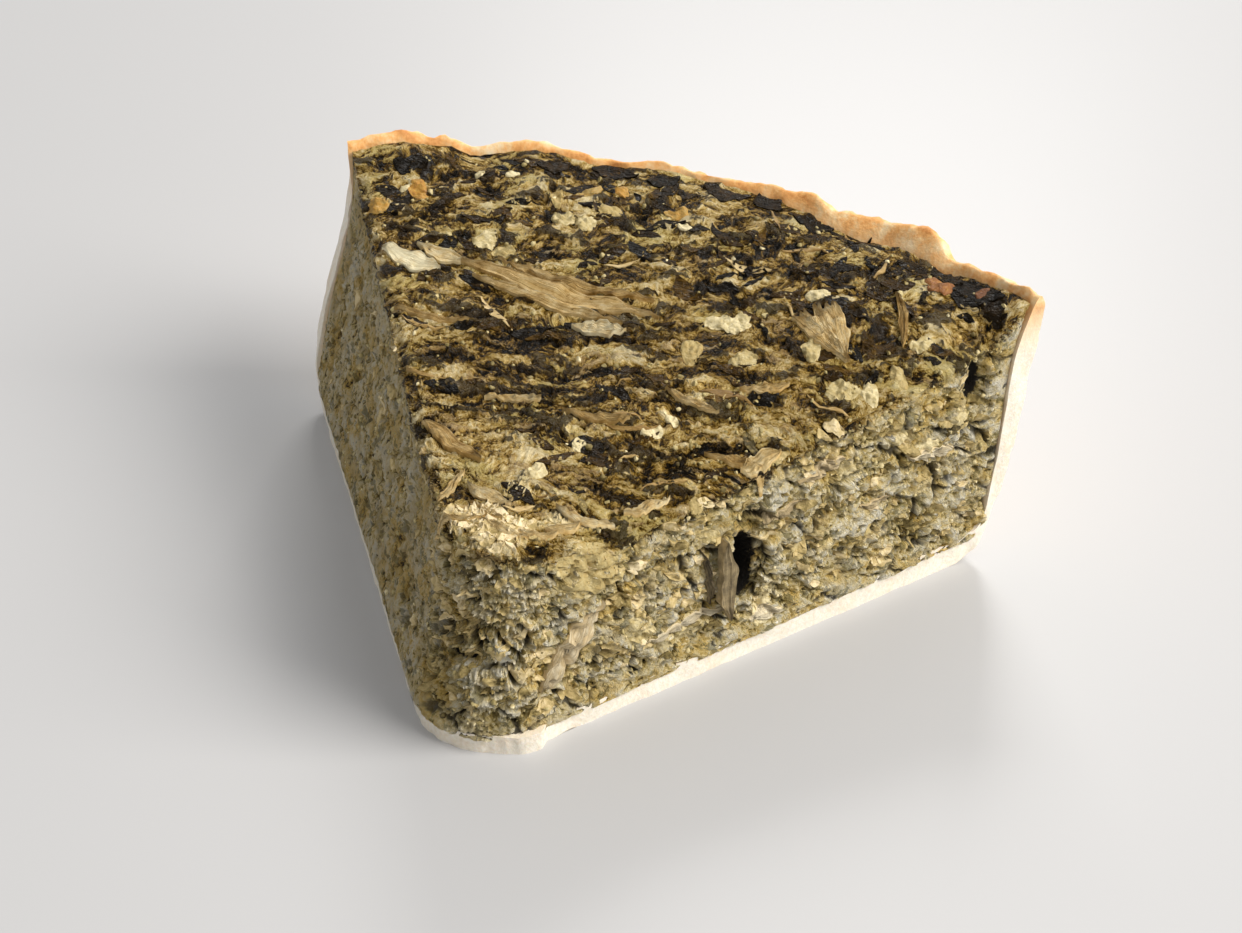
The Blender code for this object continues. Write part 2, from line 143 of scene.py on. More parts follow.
# Where the right cut has no relief of its own: along the stem. The measures are the same, but the last is
# how much of the relief goes.
CALM_PLACES = ((51.2, 17.8, 2.6, 8.0, 1.0),)
LEFT_FACE_MARKS = (
    (37.0, 22.0, 2.2, 4.4, -4.4),
    (30.0, 11.0, 3.0, 3.0, 1.4),
    (52.0, 14.0, 4.0, 2.2, -1.2),
    (60.0, 30.0, 5.0, 3.0, 0.9),
    (81.0, 20.0, 4.0, 3.0, -1.0),
)
TIP_MARKS = (
    (-1.0, 16.6, 6.0, 1.0, -3.4),
    (-6.0, 32.0, 5.0, 3.4, 1.9),
    (-5.0, 26.4, 5.0, 1.1, -2.0),
    (5.0, 27.0, 4.0, 2.4, 1.2),
    (9.0, 21.5, 3.4, 1.0, -1.8),
    (3.0, 11.0, 5.0, 2.6, 1.0),
)

# How finely the two big pieces are divided: across, from the point to the wall, and up.
FILLING_PIECES = (156, 190, 96)
PASTRY_PIECES = (140, 100, 8)
PASTRY_BASE_SHARE = 0.52

# How uneven the rim's edge is, as the pastry was trimmed and baked.
RIM_UNEVEN = 0.6 * MM
# Streaks of leaf and stalk lie along this heading on the top, as the knife and the stirring left them.
STREAK_HEADING = math.radians(12.0)
# No lump of the cut faces stands out further than about this, as the knife has gone over them.
CRUMB_STANDS_OUT = 1.1 * MM


def mix(a, b, share):
    """The value share of the way from a to b."""
    return a + (b - a) * share


def smooth_step(low, high, value):
    """0 below low, 1 above high, and a smooth rise between."""
    t = np.clip((value - low) / (high - low), 0.0, 1.0)
    return t * t * (3.0 - 2.0 * t)


def hump(distance, half_width):
    """A smooth bump, 1 in the middle and near 0 at twice the half width."""
    return np.exp(-np.square(distance / half_width))


def lean_at(height):
    """How far the left cut has leaned in at a height, from 0 at the table to 1 at the rim."""
    return smooth_step(LEAN_FROM, LEAN_TO, height)


def left_cut(lean):
    """The azimuth of the left cut where it has leaned in this far."""
    return mix(LEFT_CUT_AT_TABLE, LEFT_CUT_AT_RIM, lean)


def tip_circle(lean, set_back):
    """Centre and radius of the rounded point."""
    centre_x = mix(TIP_CENTRE_AT_TABLE[0], TIP_CENTRE_AT_RIM[0], lean)
    centre_y = mix(TIP_CENTRE_AT_TABLE[1], TIP_CENTRE_AT_RIM[1], lean)
    return centre_x, centre_y, mix(TIP_RADIUS_AT_TABLE, TIP_RADIUS_AT_RIM, lean) - set_back


def tip_angle(across, lean, radius_out, set_back):
    """Where on the rounded point a line across the slice starts, as an angle round the point's own centre."""
    centre_x, centre_y, radius = tip_circle(lean, set_back)
    ends = []
    for cut, side in ((RIGHT_CUT, -1.0), (left_cut(lean), 1.0)):
        away_x = np.cos(cut) * radius_out - centre_x
        away_y = np.sin(cut) * radius_out - centre_y
        ends.append(np.arctan2(away_y, away_x) + side * np.arccos(radius / np.hypot(away_x, away_y)))
    return mix(ends[0], ends[1] - 2.0 * math.pi, across)


def plan_point(across, along, lean, radius_out, set_back):
    """A point of the slice in plan: across from the right cut to the left, and along to the wall."""
    centre_x, centre_y, radius = tip_circle(lean, set_back)
    angle = tip_angle(across, lean, radius_out, set_back)
    inset = set_back / radius_out
    azimuth = mix(RIGHT_CUT + inset, left_cut(lean) - inset, across)
    x = mix(centre_x + np.cos(angle) * radius, np.cos(azimuth) * radius_out, along)
    y = mix(centre_y + np.sin(angle) * radius, np.sin(azimuth) * radius_out, along)
    return x, y


def floor_height(y):
    """The height of the pastry's floor."""
    return FLOOR_AT_AXIS + FLOOR_RISE * y


def rim_wave(azimuth):
    """Height, outward lean and spill of the rim at an azimuth."""
    degrees = np.degrees(azimuth)
    stops, heights, leans, spills = np.array(RIM_WAVES).T
    step = np.clip(np.searchsorted(stops, degrees) - 1, 0, len(stops) - 2)
    share = smooth_step(stops[step], stops[step + 1], degrees)
    height, lean, spill = (mix(column[step], column[step + 1], share) for column in (heights, leans, spills))
    return height * MM, lean * MM, spill


def inner_wall_radius(height, azimuth):
    """The radius of the shell's inner wall at a height, where no fold of the rim leans outwards."""
    rim_height, _, spill = rim_wave(azimuth)
    share = np.maximum(0.0, height - RIM_WAVES_START) / (rim_height - RIM_WAVES_START)
    nominal = np.where(share > 0.0, mix(RIM_WAVES_START, NOMINAL_RIM, share), height)
    rows = np.array(WALL_ROWS) * MM
    return np.interp(nominal, rows[:, 1], rows[:, 0]) + SPILL_THINS_RIM * spill * share


def top_height(x, y):
    """The height of the filling's top at a place from the axis, before its relief."""
    radius = np.hypot(x, y)
    azimuth = np.arctan2(y, x)
    height = mix(POINT_HEIGHT, WALL_SIDE_HEIGHT, smooth_step(RISE_STARTS, RISE_ENDS, radius))
    from_cut = np.sin(np.maximum(0.0, azimuth - RIGHT_CUT)) * radius
    height = height - RIGHT_EDGE_SAG * hump(from_cut, SAG_REACH) * smooth_step(12.0 * MM, 34.0 * MM, radius)
    rim_height, _, spill = rim_wave(azimuth)
    at_wall = rim_height - mix(RIM_SHOWS_AT_FOLD, RIM_SHOWS_AT_SPILL, spill)
    return mix(height, at_wall, hump(np.maximum(0.0, WALL_TOP_RADIUS - radius), WALL_CLIMB_REACH))


def face_marks(marks, distance, height):
    """How far the hollows and lumps of a cut face move a point outwards."""
    moved = np.zeros_like(height)
    for middle, level, half_length, half_height, depth in marks:
        across_mark = hump(distance - middle * MM, half_length * MM)
        moved += depth * MM * across_mark * hump(height - level * MM, half_height * MM)
    return moved


def filling_place(across, along, up):
    """Where each grid point of the filling goes, and its masks: top, left face, hollow, free of relief."""
    lean = lean_at(mix(WALL_FOOT_HEIGHT, WALL_SIDE_HEIGHT, up))
    azimuth = mix(RIGHT_CUT, left_cut(lean), across)
    wall_top = top_height(np.cos(azimuth) * WALL_TOP_RADIUS, np.sin(azimuth) * WALL_TOP_RADIUS)
    radius_out = inner_wall_radius(mix(WALL_FOOT_HEIGHT, wall_top, up), azimuth) - FIT_GAP

    set_back = mix(-FOOT_BULGE, FILLING_SET_BACK, smooth_step(0.0, 0.16, up))
    x, y = plan_point(across, along, lean, radius_out, set_back)
    height = mix(floor_height(y) - SUNK_IN_CRUST, top_height(x, y), up)
    sides = []
    for side_across, edge, marks in (
        (0.0, plan_point(0.0, along, lean, radius_out, set_back), RIGHT_FACE_MARKS),
        (1.0, plan_point(1.0, along, lean, radius_out, set_back), LEFT_FACE_MARKS),
        (across, plan_point(across, 0.0, lean, radius_out, set_back), TIP_MARKS),
    ):
        away = np.hypot(x - edge[0], y - edge[1])
        angle = tip_angle(side_across, lean, radius_out, 0.0)
        measure = edge[0] if marks is TIP_MARKS else np.hypot(*edge)
        sides.append((away, hump(away, EDGE_REACH), angle, face_marks(marks, measure, height)))
        if marks is RIGHT_FACE_MARKS:
            calm = face_marks(CALM_PLACES, measure, height) * hump(away, EDGE_REACH) / MM
    shares = np.array([side[1] for side in sides])
    evened = shares.max(axis=0) / shares.sum(axis=0)
    off_wall = 1.0 - smooth_step(0.9, 0.99, along)
    # hollow: how deep the marks press a cut face in; the filling's material paints shade there.
    hollow = np.zeros_like(x)
    for away, share, angle, crag in sides:
        move = crag * share * evened * smooth_step(0.0, 0.12, up) * off_wall
        hollow = np.maximum(hollow, smooth_step(0.9 * MM, 2.6 * MM, -move))
        x = x + np.cos(angle) * move
        y = y + np.sin(angle) * move
    nearest_edge = np.min([side[0] for side in sides], axis=0)
    height = height - TOP_EDGE_WEAR * hump(nearest_edge, 1.2 * MM) * smooth_step(0.8, 1.0, up) * off_wall
    left_facing = smooth_step(-0.35, -0.8, np.cos(tip_angle(across, lean, radius_out, 0.0)))
    left_facing = left_facing * hump(sides[1][0], 8.0 * MM)
    calm = np.maximum(calm, hollow)
    masks = {"topness": up**12, "left_facing": left_facing, "hollow": hollow, "calm": calm}
    return np.stack((x + AXIS_X, y + AXIS_Y, height), axis=1), masks


def eased(table_column, step):
    """A column of the wall rows read at a fractional step, rounded off between the rows."""
    rows = np.arange(len(table_column))
    return sum(np.interp(step + shift, rows, table_column) for shift in (-0.4, 0.0, 0.4)) / 3.0


def pastry_place(across, along, up):
    """Where each grid point of the pastry goes, and how much of it is cut face and how much is rim."""
    rows = np.array(WALL_ROWS) * MM
    step = np.maximum(0.0, along - PASTRY_BASE_SHARE) / (1.0 - PASTRY_BASE_SHARE) * (len(rows) - 1)
    inner_radius, inner_height, outer_radius, outer_height = (eased(column, step) for column in rows.T)
    radius = mix(outer_radius, inner_radius, up)
    height = mix(outer_height, inner_height, up)
    share_along = np.minimum(along / PASTRY_BASE_SHARE, 1.0)
    on_base = along <= PASTRY_BASE_SHARE
    radius = np.where(on_base, mix(rows[0, 2], rows[0, 0], up), radius)
    lean = lean_at(height)
    azimuth = mix(RIGHT_CUT, left_cut(lean), across)
    rim_height, rim_lean, spill = rim_wave(azimuth)
    share = np.maximum(0.0, height - RIM_WAVES_START) / (NOMINAL_RIM - RIM_WAVES_START)
    height = np.where(share > 0.0, mix(RIM_WAVES_START, rim_height, share), height)
    radius = radius + rim_lean * share * share + up * SPILL_THINS_RIM * spill * share
    knobs = np.array([ragged((turn * 40.0, level, 0.0), 1.0, 9.0) for turn, level in zip(azimuth, up * 0.7)])
    radius = radius + RIM_UNEVEN * knobs * share * share
    height = height + 0.6 * RIM_UNEVEN * knobs * share * share
    height = height + np.where(along > 0.999, 0.7 * MM * np.sin(math.pi * up), 0.0)
    x, y = plan_point(across, share_along, lean, radius, 0.0)
    height = np.where(on_base, up * floor_height(y), height)
    at_cut = (across < 0.001) | (across > 0.999) | (along < 0.001)
    rag = np.array([ragged(point, 3.0 * MM, 3.0) for point in np.stack((x, y, height * 0.4), axis=1)])
    tongue = TONGUE_DEPTH * hump(across - TONGUE_MIDDLE, TONGUE_HALF)
    outwards = 0.28 * MM * rag + np.where(along < 0.001, tongue, 0.0)
    outwards = outwards * at_cut
    angle = tip_angle(across, lean, radius, 0.0)
    x = x + np.cos(angle) * outwards
    y = y + np.sin(angle) * outwards
    masks = {"cut": at_cut.astype(float), "rim": smooth_step(0.9, 1.0, along)}
    return np.stack((x + AXIS_X, y + AXIS_Y, height), axis=1), masks


def ragged(point, size, seed):
    """Smooth noise from about -1 to 1, with lumps of this size and finer ones on them."""
    place = Vector(point) / size + Vector((seed, 2.0 * seed, -seed))
    return noise.noise(place) + 0.5 * noise.noise(place * 2.1)


# Modelling helpers


def deselect_all():
    """Leaves nothing selected, so that an operator acts on the new piece alone."""
    for obj in bpy.context.selected_objects:
        obj.select_set(False)


def select_only(obj):
    """Makes one object the selected and active one."""
    deselect_all()
    obj.select_set(True)
    bpy.context.view_layer.objects.active = obj


def grid_cube(name, pieces):
    """A unit cube from 0 to 1, cut into so many pieces along each axis; more than 100 is cut in two steps."""
    deselect_all()
    bpy.ops.mesh.primitive_cube_add(size=1.0, location=(0.5, 0.5, 0.5))
    cube = bpy.context.object
    cube.name = name
    cube.data.name = name
    bpy.ops.object.transform_apply(location=True, rotation=True, scale=True)
    bpy.ops.object.mode_set(mode="EDIT")
    bpy.ops.mesh.select_mode(type="EDGE")
    steps = []
    for axis, count in enumerate(pieces):
        steps += [(axis, count // 2), (axis, 2)] if count > 100 else [(axis, count)]
    for axis, count in steps:
        if count == 1:
            continue
        mesh = bmesh.from_edit_mesh(cube.data)
        for edge in mesh.edges:
            edge.select_set(False)
        for edge in mesh.edges:
            edge.select_set(abs(edge.verts[0].co[axis] - edge.verts[1].co[axis]) > 0.001)
        bmesh.update_edit_mesh(cube.data)
        bpy.ops.mesh.subdivide(number_cuts=count - 1)
    bpy.ops.object.mode_set(mode="OBJECT")
    return cube


def dissolve_underside(obj):
    """Makes the flat underside of a grid cube one face, as nothing shows there."""
    select_only(obj)
    bpy.ops.object.mode_set(mode="EDIT")
    bpy.ops.mesh.select_mode(type="FACE")
    mesh = bmesh.from_edit_mesh(obj.data)
    for face in mesh.faces:
        face.select_set(all(vertex.co.z < 0.0001 for vertex in face.verts))
    bmesh.update_edit_mesh(obj.data)
    bpy.ops.mesh.dissolve_faces()
    bpy.ops.object.mode_set(mode="OBJECT")


def points_of(mesh):
    """The vertices of a mesh as an array of rows."""
    flat = np.empty(len(mesh.vertices) * 3)
    mesh.vertices.foreach_get("co", flat)
    return flat.reshape(-1, 3)


def add_mask(mesh, name, values):
    """Stores one number for each vertex under a name that materials and nodes read."""
    mask = mesh.attributes.new(name, "FLOAT", "POINT")
    mask.data.foreach_set("value", np.ascontiguousarray(values, dtype=np.float32))


def shape_block(obj, place):
    """Moves the points of a grid cube where place sends them, stores its masks, and turns faces outwards."""
    shares = np.clip(points_of(obj.data), 0.0, 1.0)
    points, masks = place(*shares.T)
    obj.data.vertices.foreach_set("co", points.ravel())
    for name, values in masks.items():
        add_mask(obj.data, name, values)
    obj.data.update()
    select_only(obj)
    bpy.ops.object.mode_set(mode="EDIT")
    bpy.ops.mesh.select_all(action="SELECT")
    bpy.ops.mesh.normals_make_consistent(inside=False)
    bpy.ops.object.mode_set(mode="OBJECT")


def shade_smooth(obj, angle):
    """Shades a piece smooth but for edges sharper than this."""
    select_only(obj)
    bpy.ops.object.shade_smooth_by_angle(angle=math.radians(angle))


def dress(obj, material):
    """Gives a piece its material, and the body that it rides on."""
    obj.data.materials.clear()
    obj.data.materials.append(material)
    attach(obj, "root")


# Node helpers


def linear(hex_colour):
    """An sRGB hex colour as linear red, green, blue and alpha."""
    channels = [int(hex_colour[i : i + 2], 16) / 255.0 for i in (1, 3, 5)]
    bent = [c / 12.92 if c <= 0.04045 else ((c + 0.055) / 1.055) ** 2.4 for c in channels]
    return (*bent, 1.0)


def scale_for(size):
    """The scale of a pattern whose lumps have this size, in millimetres."""
    return 1.0 / (size * MM)


def socket_of(sockets, key):
    """A socket by its identifier, or else by its name or number."""
    if isinstance(key, int):
        return sockets[key]
    for socket in sockets:
        if socket.identifier == key:
            return socket
    return sockets[key]


def set_stops(elements, stops):
    """Fills a colour ramp from (position, hex colour) stops."""
    while len(elements) < len(stops):
        elements.new(0.5)
    for element, (position, colour) in zip(elements, stops):
        element.position = position
        element.color = linear(colour)


def add_node(tree, kind, inputs=None, out=0, stops=(), **settings):
    """Adds a node with its settings, fills its inputs with values or links, and returns one output."""
    node = tree.nodes.new(kind)
    for name, value in settings.items():
        setattr(node, name, value)
    for key, value in (inputs or {}).items():
        socket = socket_of(node.inputs, key)
        if isinstance(value, bpy.types.NodeSocket):
            tree.links.new(value, socket)
        else:
            socket.default_value = value
    if stops:
        set_stops(node.color_ramp.elements, stops)
    return node if out is None else socket_of(node.outputs, out)


def add_nodes(tree, kind, keys, rows, out=0, **settings):
    """Adds a node of the same kind for each row of input values, and returns one output of each."""
    return [add_node(tree, kind, dict(zip(keys, row)), out, **settings) for row in rows]


# Which inputs the rows fill, for noise, for a smooth rise between two limits, and for two values mixed.
NOISE = ("Vector", "Scale", "Detail", "Roughness")
RISE = ("Value", "From Min", "From Max")
SMOOTH = {"interpolation_type": "SMOOTHSTEP"}
MIXED = ("Factor_Float", "A_Float", "B_Float")


def wander(tree, place, size, reach):
    """A place pushed about by noise of this size, this far."""
    inputs = {"Vector": place, "Scale": 1.0 / size, "Detail": 2.0, "Roughness": 0.55}
    push = add_node(tree, "ShaderNodeTexNoise", inputs, "Color")
    centred = add_node(tree, "ShaderNodeVectorMath", {0: push, 1: (0.5, 0.5, 0.5)}, operation="SUBTRACT")
    scaled = add_node(tree, "ShaderNodeVectorMath", {0: centred, "Scale": reach * 2.0}, operation="SCALE")
    return add_node(tree, "ShaderNodeVectorMath", {0: place, 1: scaled}, operation="ADD")


def stretch(tree, place, heading, factors):
    """A place turned so that a heading lies along X, and then pressed by a factor along each axis."""
    inputs = {"Vector": place, "Angle": -heading}
    turned = add_node(tree, "ShaderNodeVectorRotate", inputs, rotation_type="Z_AXIS")
    return add_node(tree, "ShaderNodeVectorMath", {0: turned, 1: factors}, operation="MULTIPLY")


def raised(tree, start, layers):
    """A start with layers added, from (value, middle, factor) rows: (value - middle) times the factor."""
    total = start
    for layer, middle, factor in layers:
        away = layer
        if middle != 0.0:
            away = add_node(tree, "ShaderNodeMath", {0: layer, 1: middle}, operation="SUBTRACT")
        total = add_node(tree, "ShaderNodeMath", {0: away, 1: factor, 2: total}, operation="MULTIPLY_ADD")
    return total


def eased_off(tree, value, share, loss):
    """A value that has lost this part of itself where a share is 1."""
    kept = add_node(tree, "ShaderNodeMath", {0: share, 1: -loss, 2: 1.0}, operation="MULTIPLY_ADD")
    return add_node(tree, "ShaderNodeMath", {0: value, 1: kept}, operation="MULTIPLY")


def laid_over(tree, colour, layers):
    """A colour with others laid over it in turn, from (share, strength, colour, way of mixing) rows."""
    for share, strength, over, how in layers:
        amount = add_node(tree, "ShaderNodeMath", {0: share, 1: strength}, operation="MULTIPLY")
        inputs = {"Factor_Float": amount, "A_Color": colour, "B_Color": over}
        colour = add_node(tree, "ShaderNodeMix", inputs, "Result_Color", data_type="RGBA", blend_type=how)
    return colour


# The pattern of the filling, used by its relief and by its colours alike


def from_axis(tree, place):
    """The distance of a place from the tart's axis."""
    flat = add_node(tree, "ShaderNodeVectorMath", {0: place, 1: (1.0, 1.0, 0.0)}, operation="MULTIPLY")
    inputs = {0: flat, 1: (AXIS_X, AXIS_Y, 0.0)}
    return add_node(tree, "ShaderNodeVectorMath", inputs, "Value", operation="DISTANCE")


def top_pattern(tree, place):
    """Chopped leaf and stalk on the baked top: streaks in front, and rounder heaps towards the wall."""
    radius = from_axis(tree, place)
    zones = ((radius, 58.0 * MM, 90.0 * MM), (radius, 52.0 * MM, 26.0 * MM))
    back, point = add_nodes(tree, "ShaderNodeMapRange", RISE, zones, **SMOOTH)
    loose = wander(tree, place, 13.0 * MM, 4.4 * MM)
    loose = wander(tree, loose, 2.6 * MM, 1.3 * MM)
    streaks = stretch(tree, loose, STREAK_HEADING, (0.4, 1.0, 1.0))
    heaps = stretch(tree, loose, STREAK_HEADING, (0.75, 1.0, 1.0))
    strands = stretch(tree, loose, STREAK_HEADING, (0.2, 1.0, 1.0))
    shifts = ((streaks, (0.31, 0.31, 0.31)), (heaps, (0.31, 0.31, 0.31)), (strands, (0.77, 0.77, 0.77)))
    leaf_streaks, leaf_heaps, straw_strands = add_nodes(
        tree, "ShaderNodeVectorMath", (0, 1), shifts, operation="ADD"
    )
    noises = (
        (streaks, scale_for(4.8), 8.0, 0.72),
        (heaps, scale_for(4.4), 8.0, 0.7),
        (strands, scale_for(0.75), 4.0, 0.7),
        (loose, scale_for(0.9), 5.0, 0.78),
        (leaf_streaks, scale_for(3.4), 5.0, 0.62),
        (leaf_heaps, scale_for(3.2), 5.0, 0.6),
        (straw_strands, scale_for(1.9), 4.0, 0.62),
    )
    body, heaped, threads, grit, front_leaf, back_leaf, straw = add_nodes(
        tree, "ShaderNodeTexNoise", NOISE, noises
    )
    zoned = ((back, body, heaped), (back, front_leaf, back_leaf))
    clumps, leaf = add_nodes(tree, "ShaderNodeMix", MIXED, zoned)
    layers = ((clumps, 0.5, 1.8), (threads, 0.5, 0.42), (grit, 0.5, 0.8), (point, 0.0, 0.055))
    tone = raised(tree, 0.508, layers)
    leaf = raised(tree, leaf, ((grit, 0.5, 0.22), (point, 0.0, -0.04)))
    straw = raised(tree, straw, ((grit, 0.5, 0.25), (back, 0.0, -0.04)))
    limits = ((leaf, 0.53, 0.565), (straw, 0.56, 0.64))
    leaf, straw = add_nodes(tree, "ShaderNodeMapRange", RISE, limits, **SMOOTH)
    height = raised(tree, -0.3 * MM, ((tone, 0.5, 1.9 * MM), (leaf, 0.0, 0.5 * MM), (straw, 0.0, 0.35 * MM)))
    return {"tone": tone, "height": height, "threads": threads, "grit": grit, "leaf": leaf, "straw": straw}


def cut_pattern(tree, place, left_facing):
    """The crumb of the cut faces: lumps, grains, pits and cracks, smeared by the knife on the left."""
    loose = wander(tree, place, 5.0 * MM, 1.8 * MM)
    loose = wander(tree, loose, 1.7 * MM, 0.4 * MM)
    crumbs = stretch(tree, loose, 0.0, (1.0, 1.0, 1.4))
    smears = stretch(tree, loose, 0.0, (1.0, 1.0, 0.28))
    blocks = stretch(tree, loose, 0.0, (1.0, 1.0, 1.8))
    shifts = ((crumbs, (0.43, 0.43, 0.43)), (crumbs, (0.17, 0.17, 0.17)), (place, (0.91, 0.91, 0.91)))
    leaf_place, pit_place, crack_place = add_nodes(
        tree, "ShaderNodeVectorMath", (0, 1), shifts, operation="ADD"
    )
    noises = (
        (crumbs, scale_for(6.5), 7.0, 0.72),
        (crumbs, scale_for(0.9), 4.0, 0.7),
        (smears, scale_for(1.2), 5.0, 0.7),
        (leaf_place, scale_for(3.0), 5.0, 0.62),
        (pit_place, scale_for(2.6), 4.0, 0.6),
        (crack_place, scale_for(8.0), 3.0, 0.55),
    )
    lumps, fine, fibres, leaf, pit, opened = add_nodes(tree, "ShaderNodeTexNoise", NOISE, noises)
    grains = ((crumbs, scale_for(1.15)), (crumbs, scale_for(0.5)))
    gaps, fine_gaps = add_nodes(tree, "ShaderNodeTexVoronoi", ("Vector", "Scale"), grains, "Distance")
    inputs = {"Vector": blocks, "Scale": scale_for(8.0)}
    to_edge = add_node(tree, "ShaderNodeTexVoronoi", inputs, "Distance", feature="DISTANCE_TO_EDGE")
    rises = ((leaf, 0.55, 0.6), (pit, 0.385, 0.32), (opened, 0.43, 0.54), (to_edge, 0.08, 0.02))
    leaf, pit, opened, crack = add_nodes(tree, "ShaderNodeMapRange", RISE, rises, **SMOOTH)
    crack = add_node(tree, "ShaderNodeMath", {0: crack, 1: opened}, operation="MULTIPLY")
    pit = add_node(tree, "ShaderNodeMath", {0: pit, 1: crack}, operation="MAXIMUM")
    pit = eased_off(tree, pit, left_facing, 0.7)
    crumb_layers = ((lumps, 0.5, 1.6), (fine, 0.5, 0.85), (gaps, 0.42, -0.38), (fine_gaps, 0.4, -0.3))
    crumb_tone = raised(tree, 0.66, crumb_layers)
    smear_tone = raised(tree, 0.55, ((fibres, 0.5, 2.2), (crumb_tone, 0.5, 0.5)))
    inputs = {"Factor_Float": left_facing, "A_Float": crumb_tone, "B_Float": smear_tone}
    tone = add_node(tree, "ShaderNodeMix", inputs)
    height = raised(tree, 0.0, ((lumps, 0.5, 8.2 * MM), (fine, 0.5, 2.4 * MM), (gaps, 0.4, -0.9 * MM)))
    inputs = {0: height, 1: CRUMB_STANDS_OUT, 2: 0.9 * MM}
    height = add_node(tree, "ShaderNodeMath", inputs, operation="SMOOTH_MIN")
    height = eased_off(tree, height, left_facing, 0.6)
    height = raised(tree, height, ((pit, 0.0, -1.5 * MM),))
    return {"tone": tone, "height": height, "pit": pit, "leaf": leaf, "fine": fine}


def filling_height(tree, place):
    """The relief of the filling, none where it meets the pastry."""
    names = (("topness",), ("left_facing",), ("calm",))
    topness, left_facing, calm = add_nodes(
        tree, "GeometryNodeInputNamedAttribute", ("Name",), names, data_type="FLOAT"
    )
    top = top_pattern(tree, place)["height"]
    cut = cut_pattern(tree, place, left_facing)["height"]
    level = add_node(tree, "ShaderNodeSeparateXYZ", {"Vector": place}, "Z")
    joins = ((from_axis(tree, place), 103.5 * MM, 107.0 * MM), (level, 8.0 * MM, 4.0 * MM))
    near_wall, near_crust = add_nodes(tree, "ShaderNodeMapRange", RISE, joins, **SMOOTH)
    height, kept = add_nodes(tree, "ShaderNodeMix", MIXED, ((topness, cut, top), (topness, 0.0, 0.6)))
    height = eased_off(tree, height, near_crust, 0.55)
    height = eased_off(tree, height, calm, 0.88)
    kept = add_node(tree, "ShaderNodeMix", {"Factor_Float": near_wall, "A_Float": 1.0, "B_Float": kept})
    return add_node(tree, "ShaderNodeMath", {0: height, 1: kept}, operation="MULTIPLY")


def pastry_height(tree, place):
    """Baked pastry's own unevenness, none on the underside that it stands on."""
    noises = ((place, scale_for(7.0), 2.0, 0.5), (place, scale_for(1.6), 3.0, 0.6))
    waves, grain = add_nodes(tree, "ShaderNodeTexNoise", NOISE, noises)
    height = raised(tree, 0.0, ((waves, 0.5, 0.9 * MM), (grain, 0.5, 0.5 * MM)))
    level = add_node(tree, "ShaderNodeSeparateXYZ", {"Vector": place}, "Z")
    inputs = {"Value": level, "From Min": 0.2 * MM, "From Max": 2.0 * MM}
    off_table = add_node(tree, "ShaderNodeMapRange", inputs, **SMOOTH)
    return add_node(tree, "ShaderNodeMath", {0: height, 1: off_table}, operation="MULTIPLY")


def apply_relief(obj, name, height_of):
    """Moves a piece's points along their normals by a height from nodes; rest keeps their first place."""
    tree = bpy.data.node_groups.new(name, "GeometryNodeTree")
    tree.interface.new_socket("Geometry", in_out="INPUT", socket_type="NodeSocketGeometry")
    tree.interface.new_socket("Geometry", in_out="OUTPUT", socket_type="NodeSocketGeometry")
    given = add_node(tree, "NodeGroupInput")
    place = add_node(tree, "GeometryNodeInputPosition")
    normal = add_node(tree, "GeometryNodeInputNormal")
    inputs = {"Geometry": given, "Name": "rest", "Value": place}
    kept = add_node(tree, "GeometryNodeStoreNamedAttribute", inputs, data_type="FLOAT_VECTOR", domain="POINT")
    height = height_of(tree, place)
    flat = add_node(tree, "ShaderNodeVectorMath", {0: normal, 1: (1.0, 1.0, 0.0)}, operation="MULTIPLY")
    level = add_node(tree, "ShaderNodeSeparateXYZ", {"Vector": place}, "Z")
    inputs = {"Value": level, "From Min": 4.5 * MM, "From Max": 8.0 * MM}
    above_foot = add_node(tree, "ShaderNodeMapRange", inputs, **SMOOTH)
    inputs = {"Factor_Float": above_foot, "A_Vector": flat, "B_Vector": normal}
    turned = add_node(tree, "ShaderNodeMix", inputs, "Result_Vector", data_type="VECTOR")
    offset = add_node(tree, "ShaderNodeVectorMath", {0: turned, "Scale": height}, operation="SCALE")
    moved = add_node(tree, "GeometryNodeSetPosition", {"Geometry": kept, "Offset": offset})
    add_node(tree, "NodeGroupOutput", {"Geometry": moved}, None)
    modifier = obj.modifiers.new(name, "NODES")
    modifier.node_group = tree
    select_only(obj)
    bpy.ops.object.modifier_apply(modifier=name)


# Materials


def new_surface(name):
    """A material with an empty principled surface, its tree, and the surface node."""
    material = bpy.data.materials.new(name)
    material.use_nodes = True
    tree = material.node_tree
    return material, tree, tree.nodes["Principled BSDF"]


def finish_surface(tree, surface, colour, roughness, gloss, height, depth):
    """Gives a surface its colour, roughness and gloss, and its bump, whose depth is in metres."""
    bump = add_node(tree, "ShaderNodeBump", {"Height": height, "Distance": depth, "Strength": 1.0})
    tree.links.new(colour, surface.inputs["Base Color"])
    tree.links.new(bump, surface.inputs["Normal"])
    surface.inputs["Specular IOR Level"].default_value = gloss
    if isinstance(roughness, bpy.types.NodeSocket):
        tree.links.new(roughness, surface.inputs["Roughness"])
    else:
        surface.inputs["Roughness"].default_value = roughness


